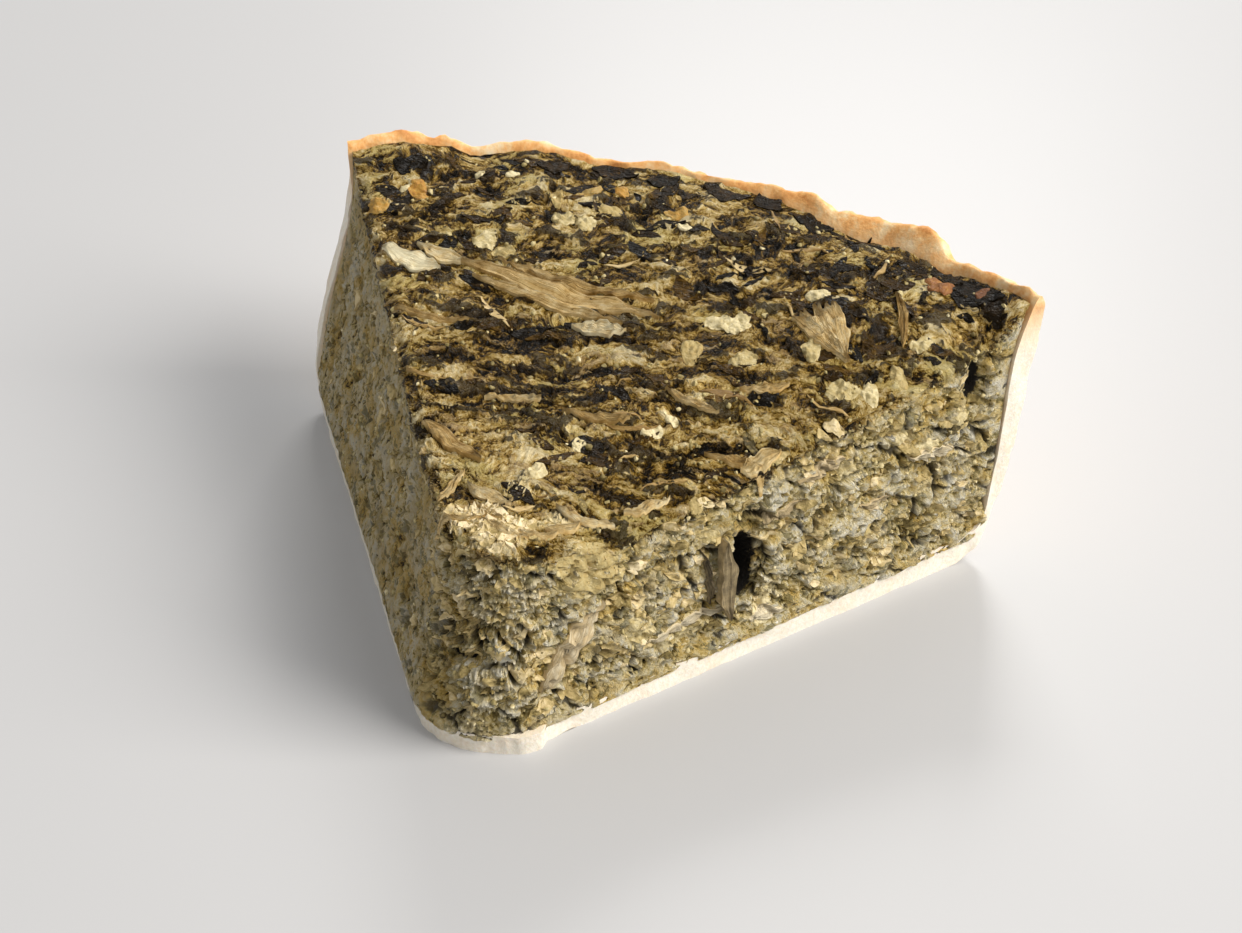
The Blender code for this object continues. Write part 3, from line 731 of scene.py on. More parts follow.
def baked_top_colour(tree, place, top):
    """The baked top: egg from cream to near black where it is browned, straw stalk, and dark leaf."""
    browned = (
        (0.31, "#0a0600"),
        (0.40, "#281b04"),
        (0.48, "#6f5217"),
        (0.55, "#ab8a42"),
        (0.63, "#d4b671"),
        (0.76, "#f2dfae"),
    )
    straws = ((0.3, "#75592a"), (0.5, "#b59660"), (0.7, "#e4cfa2"))
    leaves = ((0.35, "#0d0801"), (0.6, "#2c1e06"), (0.75, "#644c14"))
    colour = add_node(tree, "ShaderNodeValToRGB", {"Fac": top["tone"]}, stops=browned)
    straw = add_node(tree, "ShaderNodeValToRGB", {"Fac": top["threads"]}, stops=straws)
    leaf = add_node(tree, "ShaderNodeValToRGB", {"Fac": top["threads"]}, stops=leaves)
    egg_place = add_node(tree, "ShaderNodeVectorMath", {0: place, 1: (0.6, 0.6, 0.6)}, operation="ADD")
    inputs = {"Vector": egg_place, "Scale": scale_for(12.0), "Detail": 3.0, "Roughness": 0.55}
    egg = add_node(tree, "ShaderNodeTexNoise", inputs)
    egg, light = add_nodes(
        tree, "ShaderNodeMapRange", RISE, ((egg, 0.5, 0.66), (top["tone"], 0.46, 0.6)), **SMOOTH
    )
    egg = add_node(tree, "ShaderNodeMath", {0: egg, 1: light}, operation="MULTIPLY")
    layers = (
        (egg, 0.55, linear("#cfbd74"), "MIX"),
        (top["straw"], 0.75, straw, "MIX"),
        (top["leaf"], 0.88, leaf, "MIX"),
    )
    return laid_over(tree, colour, layers)


def moist_cut_colour(tree, place, cut, left_facing, hollow):
    """The cut faces: moist crumb of egg and leaf, greyer on the left, with shade painted into pits, cracks
    and hollows.
    """
    crumb = (
        (0.20, "#332a13"),
        (0.30, "#8c7946"),
        (0.40, "#d8c17d"),
        (0.51, "#f7e3aa"),
        (0.66, "#fff2cb"),
        (0.84, "#fff8e2"),
    )
    leaves = ((0.35, "#38331a"), (0.6, "#77713f"), (0.75, "#aea46e"))
    colour = add_node(tree, "ShaderNodeValToRGB", {"Fac": cut["tone"]}, stops=crumb)
    clump = add_node(tree, "ShaderNodeValToRGB", {"Fac": cut["fine"]}, stops=leaves)
    inputs = {"Vector": place, "Scale": scale_for(6.0), "Detail": 5.0, "Roughness": 0.62}
    patches = add_node(tree, "ShaderNodeTexNoise", inputs, "Color")
    channels = add_node(tree, "ShaderNodeSeparateXYZ", {"Vector": patches}, None).outputs
    # Painted shadow, near black, in the deep hollows of the cut faces such as the slot beside the stem,
    # weaker on the left; the fine crumb noise roughens its edge.
    shadow = raised(tree, hollow, ((cut["fine"], 0.5, 1.4),))
    rises = (
        (channels["X"], 0.47, 0.6),
        (channels["Y"], 0.5, 0.62),
        (channels["Z"], 0.5, 0.62),
        (shadow, 0.35, 0.75),
    )
    yellow, green, cream, shadow = add_nodes(tree, "ShaderNodeMapRange", RISE, rises, **SMOOTH)
    shadow = eased_off(tree, shadow, left_facing, 0.45)
    layers = (
        (yellow, 1.0, linear("#f6e6b8"), "MULTIPLY"),
        (green, 0.5, linear("#cdc08a"), "MULTIPLY"),
        (cream, 0.45, linear("#e6d5aa"), "MIX"),
        (cut["leaf"], 0.6, clump, "MIX"),
        # Painted shade: the pits and cracks darkened to near black, less on the left.
        (cut["pit"], 0.85, linear("#1d170a"), "MIX"),
        (left_facing, 0.3, linear("#d2c2a8"), "MULTIPLY"),
        # Painted shadow in the deep hollows.
        (shadow, 1.0, linear("#151007"), "MIX"),
    )
    return laid_over(tree, colour, layers)


def filling_material():
    """Baked egg, leaf and stalk: oily, browned and near black on top; moist matt crumb on the cut faces."""
    material, tree, surface = new_surface("baked_leaf_filling")
    place = add_node(tree, "ShaderNodeAttribute", {}, "Vector", attribute_name="rest")
    topness, left_facing, hollow = (
        add_node(tree, "ShaderNodeAttribute", {}, "Fac", attribute_name=name)
        for name in ("topness", "left_facing", "hollow")
    )
    top = top_pattern(tree, place)
    cut = cut_pattern(tree, place, left_facing)
    border = raised(tree, topness, ((cut["fine"], 0.5, 1.6),))
    is_top = add_node(
        tree, "ShaderNodeMapRange", {"Value": border, "From Min": 0.35, "From Max": 0.65}, **SMOOTH
    )
    top_colour = baked_top_colour(tree, place, top)
    cut_colour = moist_cut_colour(tree, place, cut, left_facing, hollow)
    colour = laid_over(tree, cut_colour, ((is_top, 1.0, top_colour, "MIX"),))
    inputs = {"Value": top["grit"], "From Min": 0.4, "From Max": 0.62, "To Min": 0.14, "To Max": 0.4}
    oily = add_node(tree, "ShaderNodeMapRange", inputs, **SMOOTH)
    inputs = {"Vector": place, "Scale": scale_for(0.4), "Detail": 4.0, "Roughness": 0.75}
    grains = add_node(tree, "ShaderNodeTexNoise", inputs)
    fine_top = raised(tree, 0.0, ((top["grit"], 0.0, 1.6), (top["threads"], 0.0, 1.0)))
    fine_cut = raised(tree, 0.0, ((grains, 0.0, 1.5), (cut["fine"], 0.0, 1.8)))
    mixed = ((is_top, 0.66, oily), (is_top, fine_cut, fine_top))
    roughness, height = add_nodes(tree, "ShaderNodeMix", MIXED, mixed)
    finish_surface(tree, surface, colour, roughness, 0.24, height, 0.9 * MM)
    return material


def pastry_material():
    """Shortcrust baked in a tin: cream and floury where cut, biscuit outside, golden brown at the rim."""
    material, tree, surface = new_surface("shortcrust_pastry")
    place = add_node(tree, "ShaderNodeAttribute", {}, "Vector", attribute_name="rest")
    cut, rim = (
        add_node(tree, "ShaderNodeAttribute", {}, "Fac", attribute_name=name) for name in ("cut", "rim")
    )
    level = add_node(tree, "ShaderNodeSeparateXYZ", {"Vector": place}, "Z")
    noises = ((place, scale_for(5.0), 5.0, 0.7), (place, scale_for(0.7), 3.0, 0.65))
    blotches, grain = add_nodes(tree, "ShaderNodeTexNoise", NOISE, noises)
    rises = ((level, 30.0 * MM, 2.0 * MM), (level, 36.0 * MM, 46.0 * MM), (blotches, 0.5, 0.62))
    low, high, peach = add_nodes(tree, "ShaderNodeMapRange", RISE, rises, **SMOOTH)
    skins = ((0.3, "#f8dcae"), (0.5, "#f2c88e"), (0.7, "#e4ab66"))
    crumbs = ((0.3, "#e9dfca"), (0.5, "#f0e8d8"), (0.7, "#f6f0e4"))
    toasts = ((0.3, "#fbe6c0"), (0.42, "#f7d098"), (0.54, "#eeb068"), (0.66, "#c98440"), (0.78, "#8f5a26"))
    skin = add_node(tree, "ShaderNodeValToRGB", {"Fac": blotches}, stops=skins)
    crumb = add_node(tree, "ShaderNodeValToRGB", {"Fac": grain}, stops=crumbs)
    toasted = add_node(tree, "ShaderNodeValToRGB", {"Fac": blotches}, stops=toasts)
    skin = laid_over(tree, skin, ((low, 1.0, linear("#f0dfbf"), "MIX"),))
    baked = ((high, 0.7, linear("#ecc28c"), "MIX"), (peach, 0.22, linear("#eccfa6"), "MIX"))
    crumb = laid_over(tree, crumb, baked)
    colour = laid_over(tree, skin, ((cut, 1.0, crumb, "MIX"), (rim, 1.0, toasted, "MIX")))
    surface.inputs["Subsurface Weight"].default_value = 0.08
    surface.inputs["Subsurface Radius"].default_value = (0.002, 0.0012, 0.0006)
    height = raised(tree, grain, ((blotches, 0.0, 0.6),))
    finish_surface(tree, surface, colour, 0.62, 0.5, height, 0.14 * MM)
    return material


def tinted_material(name, stops, roughness, fibre, bump, gloss=0.3, mottling=0.9):
    """A food surface whose tint differs from piece to piece, with noise of the fibre's own stretch."""
    material, tree, surface = new_surface(name)
    place = add_node(tree, "ShaderNodeTexCoord", {}, "Object")
    tint = add_node(tree, "ShaderNodeAttribute", {}, "Fac", attribute_name="tint")
    lengthwise = stretch(tree, place, STREAK_HEADING, fibre)
    inputs = {"Vector": lengthwise, "Scale": scale_for(0.8), "Detail": 3.0, "Roughness": 0.6}
    mottled = add_node(tree, "ShaderNodeTexNoise", inputs)
    value = raised(tree, tint, ((mottled, 0.5, mottling),))
    colour = add_node(tree, "ShaderNodeValToRGB", {"Fac": value}, stops=stops)
    finish_surface(tree, surface, colour, roughness, gloss, mottled, bump)
    return material


def stalk_material(name, stops):
    """Boiled and baked leaf stalk: stringy along its length and a little waxy."""
    material, tree, surface = new_surface(name)
    place = add_node(tree, "ShaderNodeTexCoord", {}, "Object")
    sideways, tint = (
        add_node(tree, "ShaderNodeAttribute", {}, "Fac", attribute_name=key) for key in ("sideways", "tint")
    )
    strings = add_node(tree, "ShaderNodeMath", {0: sideways, 1: STRINGS_ACROSS_STALK}, operation="MULTIPLY")
    inputs = {"W": strings, "Scale": 1.0, "Detail": 3.0, "Roughness": 0.7}
    threads = add_node(tree, "ShaderNodeTexNoise", inputs, noise_dimensions="1D")
    inputs = {"Vector": place, "Scale": scale_for(2.0), "Detail": 4.0, "Roughness": 0.65}
    mottled = add_node(tree, "ShaderNodeTexNoise", inputs)
    value = raised(tree, tint, ((threads, 0.5, 0.6), (mottled, 0.5, 1.0)))
    colour = add_node(tree, "ShaderNodeValToRGB", {"Fac": value}, stops=stops)
    finish_surface(tree, surface, colour, 0.5, 0.22, threads, 0.5 * MM)
    return material


def browned_stalk_material():
    """Stalk on the top, dried by the oven to straw with brown edges."""
    stops = ((0.05, "#35230a"), (0.3, "#8a682f"), (0.5, "#bd9c60"), (0.7, "#d8be88"), (0.95, "#ece0ba"))
    return stalk_material("browned_stalk", stops)


def moist_stalk_material():
    """Stalk inside the filling, still moist where the knife went through: grey olive to pale."""
    stops = ((0.05, "#40372a"), (0.3, "#82745a"), (0.5, "#b5a17a"), (0.7, "#d0bb92"), (0.95, "#ecdfc0"))
    return stalk_material("moist_stalk", stops)


# The two big pieces


def make_filling():
    """The filling's own block, with its relief."""
    block = grid_cube("tart_filling", FILLING_PIECES)
    dissolve_underside(block)
    shape_block(block, filling_place)
    apply_relief(block, "filling_relief", filling_height)
    shade_smooth(block, 60.0)
    dress(block, filling_material())
    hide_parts("leaf_filling")
    return block


def make_pastry():
    """The pastry shell's own block, with its relief."""
    block = grid_cube("tart_pastry", PASTRY_PIECES)
    shape_block(block, pastry_place)
    apply_relief(block, "pastry_relief", pastry_height)
    shade_smooth(block, 50.0)
    dress(block, pastry_material())
    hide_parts("pastry_shell")
    return block


# Pieces that lie on the filling

UPWARDS = Vector((0.0, 0.0, 1.0))
# Ways to a big piece start this far away from where it is expected.
ABOVE_ALL = 90.0 * MM
BESIDE_CUT = 20.0 * MM
BEYOND_POINT = 30.0 * MM


class Surface:
    """The big pieces as they are now, to lay other pieces on."""

    def __init__(self, objects):
        points = []
        corners = []
        for obj in objects:
            mesh = obj.data
            mesh.calc_loop_triangles()
            found = np.empty(len(mesh.loop_triangles) * 3, dtype=np.int32)
            mesh.loop_triangles.foreach_get("vertices", found)
            corners += (found.reshape(-1, 3) + len(points)).tolist()
            points += [Vector(point) for point in points_of(mesh)]
        self.tree = BVHTree.FromPolygons(points, corners)

    def land(self, start, direction, reach):
        """Where a straight way from a start first meets a big piece, or None."""
        return self.tree.ray_cast(start, direction, reach)[0]


def on_top(surface, x, y):
    """The place on the top above a point given from the axis."""
    return surface.land(Vector((x + AXIS_X, y + AXIS_Y, ABOVE_ALL)), -UPWARDS, ABOVE_ALL)


def on_cut(surface, cut, distance, height):
    """A place on a cut face and the way out of it, by the distance from the axis and the height."""
    side = 1.0 if cut == RIGHT_CUT else -1.0
    outwards = Vector((math.sin(cut), -math.cos(cut), 0.0)) * side
    base = Vector((math.cos(cut) * distance + AXIS_X, math.sin(cut) * distance + AXIS_Y, height))
    return surface.land(base + outwards * BESIDE_CUT, -outwards, 2.0 * BESIDE_CUT), outwards


def on_point(surface, angle, height):
    """A place on the rounded point and the way out of it, by the angle round the point and the height."""
    outwards = Vector((math.cos(angle), math.sin(angle), 0.0))
    middle = Vector((TIP_CENTRE_AT_RIM[0] + AXIS_X, TIP_CENTRE_AT_RIM[1] + AXIS_Y, height))
    return surface.land(middle + outwards * BEYOND_POINT, -outwards, BEYOND_POINT), outwards


def laid_points(surface, spot, along, outwards, shape, reach=2.5 * MM):
    """Points of a flat shape laid on what is under it, or None where it would hang over an edge."""
    sideways = outwards.cross(along).normalized()
    along = sideways.cross(outwards).normalized()
    placed = []
    for lengthwise, crosswise, out in shape:
        over = spot + along * lengthwise + sideways * crosswise
        landed = surface.land(over + outwards * reach, -outwards, 2.0 * reach)
        if landed is None:
            return None
        placed.append(landed + outwards * out)
    return placed


def join_copies(name, faces, copies, tints, material, smooth_angle=60.0, sideways=None):
    """One mesh from many copies of a shape, each with its own points and tint."""
    count = len(copies[0])
    points = [tuple(point) for copy in copies for point in copy]
    starts = range(0, count * len(copies), count)
    corners = [[vertex + start for vertex in face] for start in starts for face in faces]
    mesh = bpy.data.meshes.new(name)
    mesh.from_pydata(points, [], corners)
    mesh.update()
    add_mask(mesh, "tint", np.repeat(tints, count))
    if sideways is not None:
        add_mask(mesh, "sideways", np.tile(sideways, len(copies)))
    obj = bpy.data.objects.new(name, mesh)
    bpy.context.scene.collection.objects.link(obj)
    shade_smooth(obj, smooth_angle)
    dress(obj, material)
    return obj


def join_laid(name, faces, copies, tints, material, sideways=None):
    """Joins the copies that could be laid, and leaves out those that would have hung over an edge."""
    kept = [(copy, tint) for copy, tint in zip(copies, tints) if copy]
    copies, tints = zip(*kept)
    return join_copies(name, faces, copies, tints, material, 60.0, sideways)


def take_shape(model):
    """The points and faces of a modelled shape, which is then removed."""
    points = points_of(model.data)
    faces = [list(face.vertices) for face in model.data.polygons]
    bpy.data.objects.remove(model)
    return points, faces


def strip_shape(points, length, width, thickness, curl, seed, bend=0.0):
    """A unit block's points as a leaf-like strip: tapered, ragged, thin, bent, and curling at its ends."""
    shape = []
    for across, along, up in points:
        from_middle = 2.0 * across - 1.0
        taper = max(0.1, 1.0 - abs(from_middle) ** 2.2)
        wave = 0.3 * noise.noise(Vector((across * 2.5, seed, 0.0)))
        edge = 1.0 + 0.4 * noise.noise(Vector((across * 6.0, along * 3.0, seed)))
        crosswise = ((along - 0.5) * taper * edge + wave) * width + bend * length * from_middle * from_middle
        rise = curl * (from_middle**4 + 0.6 * noise.noise(Vector((across * 3.0, along * 2.0, seed + 5.0))))
        shape.append(((across - 0.5) * length, crosswise, (up - 0.45) * thickness + rise))
    return shape


# Stalks on the top: x, y, length, width, thickness, heading in degrees, bend, tint.
STALKS = (
    (-9.6, 72.4, 36.0, 3.6, 1.0, -4.0, 0.01, 0.54),
    (-10.4, 70.0, 28.0, 2.2, 0.9, -7.0, -0.01, 0.62),
    (-4.8, 74.8, 22.0, 2.0, 0.8, -1.0, 0.02, 0.46),
    (-13.0, 75.6, 18.0, 1.6, 0.7, -3.0, 0.02, 0.52),
    (-24.6, 62.0, 24.0, 2.8, 1.0, 10.0, -0.03, 0.56),
    (-27.0, 60.2, 13.0, 1.5, 0.8, 4.0, 0.04, 0.48),
    (-35.8, 71.8, 11.0, 4.0, 0.8, -3.0, 0.04, 0.92),
    (-31.3, 74.6, 10.0, 2.6, 0.8, -5.0, 0.02, 0.76),
    (-11.4, 33.4, 14.0, 2.6, 1.4, -25.0, 0.0, 0.46),
    (-12.6, 31.6, 12.0, 1.8, 1.1, -27.0, 0.02, 0.38),
    (-0.8, 23.4, 8.0, 2.2, 0.9, -13.0, 0.05, 0.70),
    (28.6, 45.6, 11.0, 1.5, 1.1, 6.0, 0.02, 0.60),
    (29.6, 47.2, 9.0, 1.3, 1.0, 8.0, 0.02, 0.50),
    (33.6, 48.8, 7.0, 2.4, 1.1, 44.0, 0.0, 0.62),
    (0.0, 66.4, 9.0, 2.2, 1.0, 11.0, 0.0, 0.82),
    (7.0, 47.0, 11.0, 1.8, 0.9, 4.0, 0.05, 0.50),
    (-7.0, 47.5, 9.0, 1.7, 0.8, 18.0, -0.05, 0.62),
    (-18.0, 45.4, 12.0, 3.0, 0.8, 36.0, 0.05, 0.60),
    (20.0, 54.5, 10.0, 1.6, 0.9, -12.0, 0.05, 0.62),
    (30.0, 61.0, 8.0, 1.6, 0.8, 30.0, 0.06, 0.55),
    (46.0, 82.0, 11.0, 1.5, 0.9, 112.0, 0.05, 0.42),
    (-5.2, 18.4, 7.0, 1.4, 1.0, 62.0, 0.10, 0.62),
    (-2.4, 16.6, 8.0, 1.2, 0.9, 14.0, 0.10, 0.60),
    (4.6, 16.4, 8.0, 1.4, 1.0, -6.0, 0.08, 0.66),
    (9.6, 18.4, 6.0, 1.3, 1.0, 34.0, 0.10, 0.60),
    (13.8, 25.4, 9.0, 2.0, 1.4, 6.0, 0.10, 0.74),
    (17.6, 27.2, 7.0, 1.4, 1.2, -16.0, 0.10, 0.64),
    (12.0, 22.2, 6.0, 1.3, 1.0, 48.0, 0.08, 0.66),
    (0.6, 19.6, 8.0, 1.2, 0.8, -20.0, 0.06, 0.62),
    (-6.6, 23.6, 8.0, 1.2, 0.8, 80.0, 0.06, 0.70),
    (21.0, 33.2, 8.0, 1.6, 1.1, 52.0, 0.05, 0.66),
)
# Stalks and leaf edges on the right cut: distance from the axis, height, length, width, thickness, tilt in
# degrees from level, tint. The first stands beside the slot.
RIGHT_STALKS = (
    (51.6, 18.2, 16.0, 2.9, 1.6, 94.0, 0.42),
    (48.9, 19.0, 11.0, 1.2, 1.2, 97.0, 0.26),
    (45.0, 11.6, 15.0, 1.0, 0.8, 3.0, 0.90),
    (60.4, 6.4, 6.0, 1.6, 0.9, 2.0, 0.98),
    (24.0, 16.5, 17.0, 3.6, 1.6, 46.0, 0.72),
    (92.0, 26.0, 10.0, 2.2, 1.0, -12.0, 0.88),
    (70.0, 31.0, 9.0, 1.6, 0.9, 8.0, 0.72),
    (82.0, 20.0, 7.0, 1.4, 0.8, -6.0, 0.66),
    (63.0, 26.0, 8.0, 1.6, 0.8, 12.0, 0.60),
)
STEM_STANDS_OUT = 0.7 * MM
# Strings that lie side by side across a stalk, as its colour shows them.
STRINGS_ACROSS_STALK = 14.0
# The fan-shaped stalk end near the right cut: root x, y, length, and how many ribs spread over what angle.
FAN_ROOT = (40.2, 70.8)
FAN_LENGTH = 12.5
FAN_RIBS = 7
FAN_SPREAD = (118.0, 152.0)


def ribbed_strip(points, length, width, thickness, bend, number):
    """A strip with ribs along it, as the strings of a stalk stand out."""
    shape = strip_shape(points, length * MM, width * MM, thickness * MM, 0.15 * MM, 3.1 * number, bend)
    ribs = [0.14 * MM * math.sin(along * 19.0 + number) * up for _, along, up in points]
    return [(a, b, out + rib) for (a, b, out), rib in zip(shape, ribs)]


def make_stalks(surface):
    """Strips of stalk baked into the top and cut through on the right, and the fan-shaped end of one."""
    points, faces = take_shape(grid_cube("stalk", (22, 8, 2)))
    strips = list(STALKS)
    for rib in range(FAN_RIBS):
        heading = mix(*FAN_SPREAD, rib / (FAN_RIBS - 1))
        reach = 0.5 * FAN_LENGTH
        x = FAN_ROOT[0] + math.cos(math.radians(heading)) * reach
        y = FAN_ROOT[1] + math.sin(math.radians(heading)) * reach
        strips.append((x, y, FAN_LENGTH, 2.4, 1.1, heading, 0.0, 0.6 + 0.06 * (rib % 3)))
    copies = []
    tints = []
    for number, (x, y, length, width, thickness, heading, bend, tint) in enumerate(strips):
        angle = math.radians(heading)
        direction = Vector((math.cos(angle), math.sin(angle), 0.0))
        shape = ribbed_strip(points, length, width, thickness, bend, number)
        spot = on_top(surface, x * MM, y * MM)
        copies.append(laid_points(surface, spot, direction, UPWARDS, shape, 6.0 * MM))
        tints.append(tint)
    join_laid("stalk_strips", faces, copies, tints, browned_stalk_material(), points[:, 1])


# The slot of the right cut with the stem beside it: middle and half size, along the cut and in height.
SLOT_MIDDLE = (54.4 * MM, 17.6 * MM)
SLOT_HALF = (4.4 * MM, 8.0 * MM)


def in_the_slot(spot):
    """Whether a place is in the slot of the right cut or on the stem beside it, where no crumb lies."""
    distance = math.hypot(spot.x - AXIS_X, spot.y - AXIS_Y)
    along = abs(distance - SLOT_MIDDLE[0]) < SLOT_HALF[0]
    return along and abs(spot.z - SLOT_MIDDLE[1]) < SLOT_HALF[1] and spot.x > 0.0


def spot_on_face(distance, height):
    """A place on the flat of the right cut."""
    return Vector((math.cos(RIGHT_CUT) * distance + AXIS_X, math.sin(RIGHT_CUT) * distance + AXIS_Y, height))


def make_cut_stalks(surface):
    """Stalks and leaf edges that the knife went through on the right."""
    points, faces = take_shape(grid_cube("cut_stalk", (22, 8, 2)))
    level = Vector((math.cos(RIGHT_CUT), math.sin(RIGHT_CUT), 0.0))
    copies = []
    tints = []
    for number, (distance, height, length, width, thickness, tilt, tint) in enumerate(RIGHT_STALKS):
        spot, outwards = on_cut(surface, RIGHT_CUT, distance * MM, height * MM)
        direction = level * math.cos(math.radians(tilt)) + UPWARDS * math.sin(math.radians(tilt))
        if number == 0:
            shape = ribbed_strip(points, length, width, thickness, 0.0, 1)
            sideways = outwards.cross(direction)
            stood = spot_on_face(distance * MM, height * MM) + outwards * STEM_STANDS_OUT
            copies.append([stood + direction * a + sideways * b + outwards * c for a, b, c in shape])
        else:
            shape = ribbed_strip(points, length, width, thickness, 0.02, number + 40)
            copies.append(laid_points(surface, spot, direction, outwards, shape, 8.0 * MM))
        tints.append(tint)
    join_laid("cut_stalks", faces, copies, tints, moist_stalk_material(), points[:, 1])


# Cheese and egg lumps on the top: x, y, width, rise, tint. Tint 0 is cream and 1 is orange.
TOP_LUMPS = (
    (-9.6, 94.5, 3.6, 1.8, 0.30),
    (-11.6, 90.2, 3.8, 1.6, 0.16),
    (-16.4, 90.2, 3.8, 1.6, 0.18),
    (-18.8, 94.4, 3.4, 1.5, 0.34),
    (-14.4, 98.0, 3.6, 1.6, 0.44),
    (-25.6, 80.0, 4.2, 1.2, 0.15),
    (-22.0, 79.0, 3.0, 1.0, 0.25),
    (-42.2, 89.2, 3.4, 1.4, 0.62),
    (-44.6, 88.6, 1.8, 1.0, 0.10),
    (-46.9, 82.0, 3.6, 1.2, 0.52),
    (-46.0, 79.4, 3.0, 1.1, 0.46),
    (19.5, 73.3, 4.6, 1.4, 0.10),
    (21.6, 74.6, 2.8, 1.1, 0.14),
    (25.1, 66.4, 3.6, 1.1, 0.20),
    (33.9, 70.7, 3.2, 1.7, 0.20),
    (31.6, 83.2, 2.9, 1.6, 0.08),
    (16.4, 66.1, 3.8, 1.1, 0.30),
    (41.0, 65.8, 4.0, 1.0, 0.18),
    (45.2, 66.6, 3.2, 1.0, 0.12),
    (50.4, 79.0, 3.2, 1.7, 0.16),
    (48.6, 71.4, 3.0, 1.2, 0.26),
    (50.1, 91.6, 3.6, 2.4, 0.82),
    (48.2, 92.8, 2.4, 2.0, 0.78),
    (56.0, 91.8, 2.3, 2.2, 0.94),
    (4.7, 93.4, 1.9, 1.3, 0.02),
    (-34.0, 97.0, 1.9, 1.3, 0.05),
    (-29.0, 99.4, 2.1, 1.3, 0.05),
    (-9.0, 100.6, 2.8, 1.3, 0.58),
    (2.0, 97.6, 3.2, 1.4, 0.50),
    (7.0, 40.0, 2.6, 1.1, 0.08),
    (16.8, 47.0, 2.6, 1.1, 0.08),
    (18.6, 50.2, 2.0, 1.0, 0.06),
    (3.6, 32.0, 2.8, 1.0, 0.10),
)
# Lumps on the right cut: distance from the axis, height, width, rise, tint.
RIGHT_LUMPS = (
    (60.2, 7.6, 4.4, 0.7, 0.02),
    (43.6, 9.6, 6.2, 1.0, 0.12),
    (36.2, 14.8, 5.0, 1.2, 0.16),
    (27.0, 30.5, 9.0, 1.6, 0.24),
    (90.6, 27.6, 4.6, 1.2, 0.10),
    (97.0, 31.6, 3.6, 1.1, 0.14),
    (86.0, 30.6, 3.6, 1.0, 0.12),
    (75.0, 29.0, 3.4, 0.9, 0.16),
    (66.6, 17.4, 3.8, 0.8, 0.18),
    (80.0, 15.0, 2.6, 0.8, 0.20),
    (48.4, 27.4, 3.2, 0.8, 0.18),
    (24.0, 10.6, 3.6, 0.8, 0.22),
)


def make_lumps(surface):
    """Lumps of cheese and egg, half sunk and moulded to what is under them, on the top and the right cut."""
    deselect_all()
    bpy.ops.mesh.primitive_ico_sphere_add(subdivisions=4, radius=0.5, location=(0.0, 0.0, 0.0))
    points, faces = take_shape(bpy.context.object)
    copies = []
    tints = []
    spots = []
    for x, y, width, rise, tint in TOP_LUMPS:
        spots.append((on_top(surface, x * MM, y * MM), UPWARDS, width, rise, tint))
    for distance, height, width, rise, tint in RIGHT_LUMPS:
        spots.append((*on_cut(surface, RIGHT_CUT, distance * MM, height * MM), width, rise, tint))
    for number, (spot, outwards, width, rise, tint) in enumerate(spots):
        shape = []
        for point in points:
            shift = Vector(point) * width + Vector((number, 0.0, 0.0))
            uneven = 1.0 + 0.7 * noise.noise(shift * 0.4) + 0.15 * noise.noise(shift * 1.3)
            bumps = 0.62 + 0.5 * noise.noise(shift * 0.6)
            across, along, out = Vector(point)
            size = uneven * width * MM
            shape.append((across * size * 1.25, along * size * 0.85, out * rise * bumps * MM))
        along = Vector((math.cos(number * 1.7), math.sin(number * 1.7), 0.3))
        copy = laid_points(surface, spot, along, outwards, shape, 4.0 * MM)
        if copy:
            copies.append(copy)
            tints.append(tint)
    stops = (
        (0.0, "#e0d2a8"),
        (0.2, "#b5a370"),
        (0.4, "#a98f54"),
        (0.6, "#b4873c"),
        (0.8, "#8f5f34"),
        (1.0, "#603615"),
    )
    material = tinted_material("baked_cheese", stops, 0.45, (0.8, 1.0, 1.0), 0.5 * MM, 0.25, 0.5)
    return join_copies("cheese_lumps", faces, copies, tints, material)


# Where scattered pieces may lie on the top, in millimetres: its box, how far they keep from each cut, how far
# they may be from the axis, and the rounded point's middle with how far they may be from it.
TOP_BOX = ((-62.0, 66.0), (10.0, 110.0))
CLEAR_OF_RIGHT_CUT = 2.0
CLEAR_OF_LEFT_CUT = 3.0
FURTHEST_FROM_AXIS = 107.5
POINT_MIDDLE = (3.2, 22.5)
POINT_REACH = 9.5
# Behind this distance from the axis, in millimetres, the top is browned in heaps and not in streaks.
BACK_STARTS = 74.0
HEADINGS_SPREAD_FROM = 70.0
SHRED_SEED = 5
DARK_SHREDS = 170
TAN_SHREDS = 22


def random_top_place(draw):
    """A place on the top, from the axis, a little in from the cuts and the wall."""
    while True:
        x = draw.uniform(*TOP_BOX[0])
        y = draw.uniform(*TOP_BOX[1])
        azimuth = math.atan2(y, x)
        radius = math.hypot(x, y)
        right = radius * math.sin(azimuth - RIGHT_CUT)
        left = radius * math.sin(LEFT_CUT_AT_RIM + math.radians(1.5) - azimuth)
        clear = right > CLEAR_OF_RIGHT_CUT and left > CLEAR_OF_LEFT_CUT and radius < FURTHEST_FROM_AXIS
        from_point = math.hypot(x - POINT_MIDDLE[0], y - POINT_MIDDLE[1])
        if clear and (y > POINT_MIDDLE[1] or from_point < POINT_REACH):
            return x, y, radius


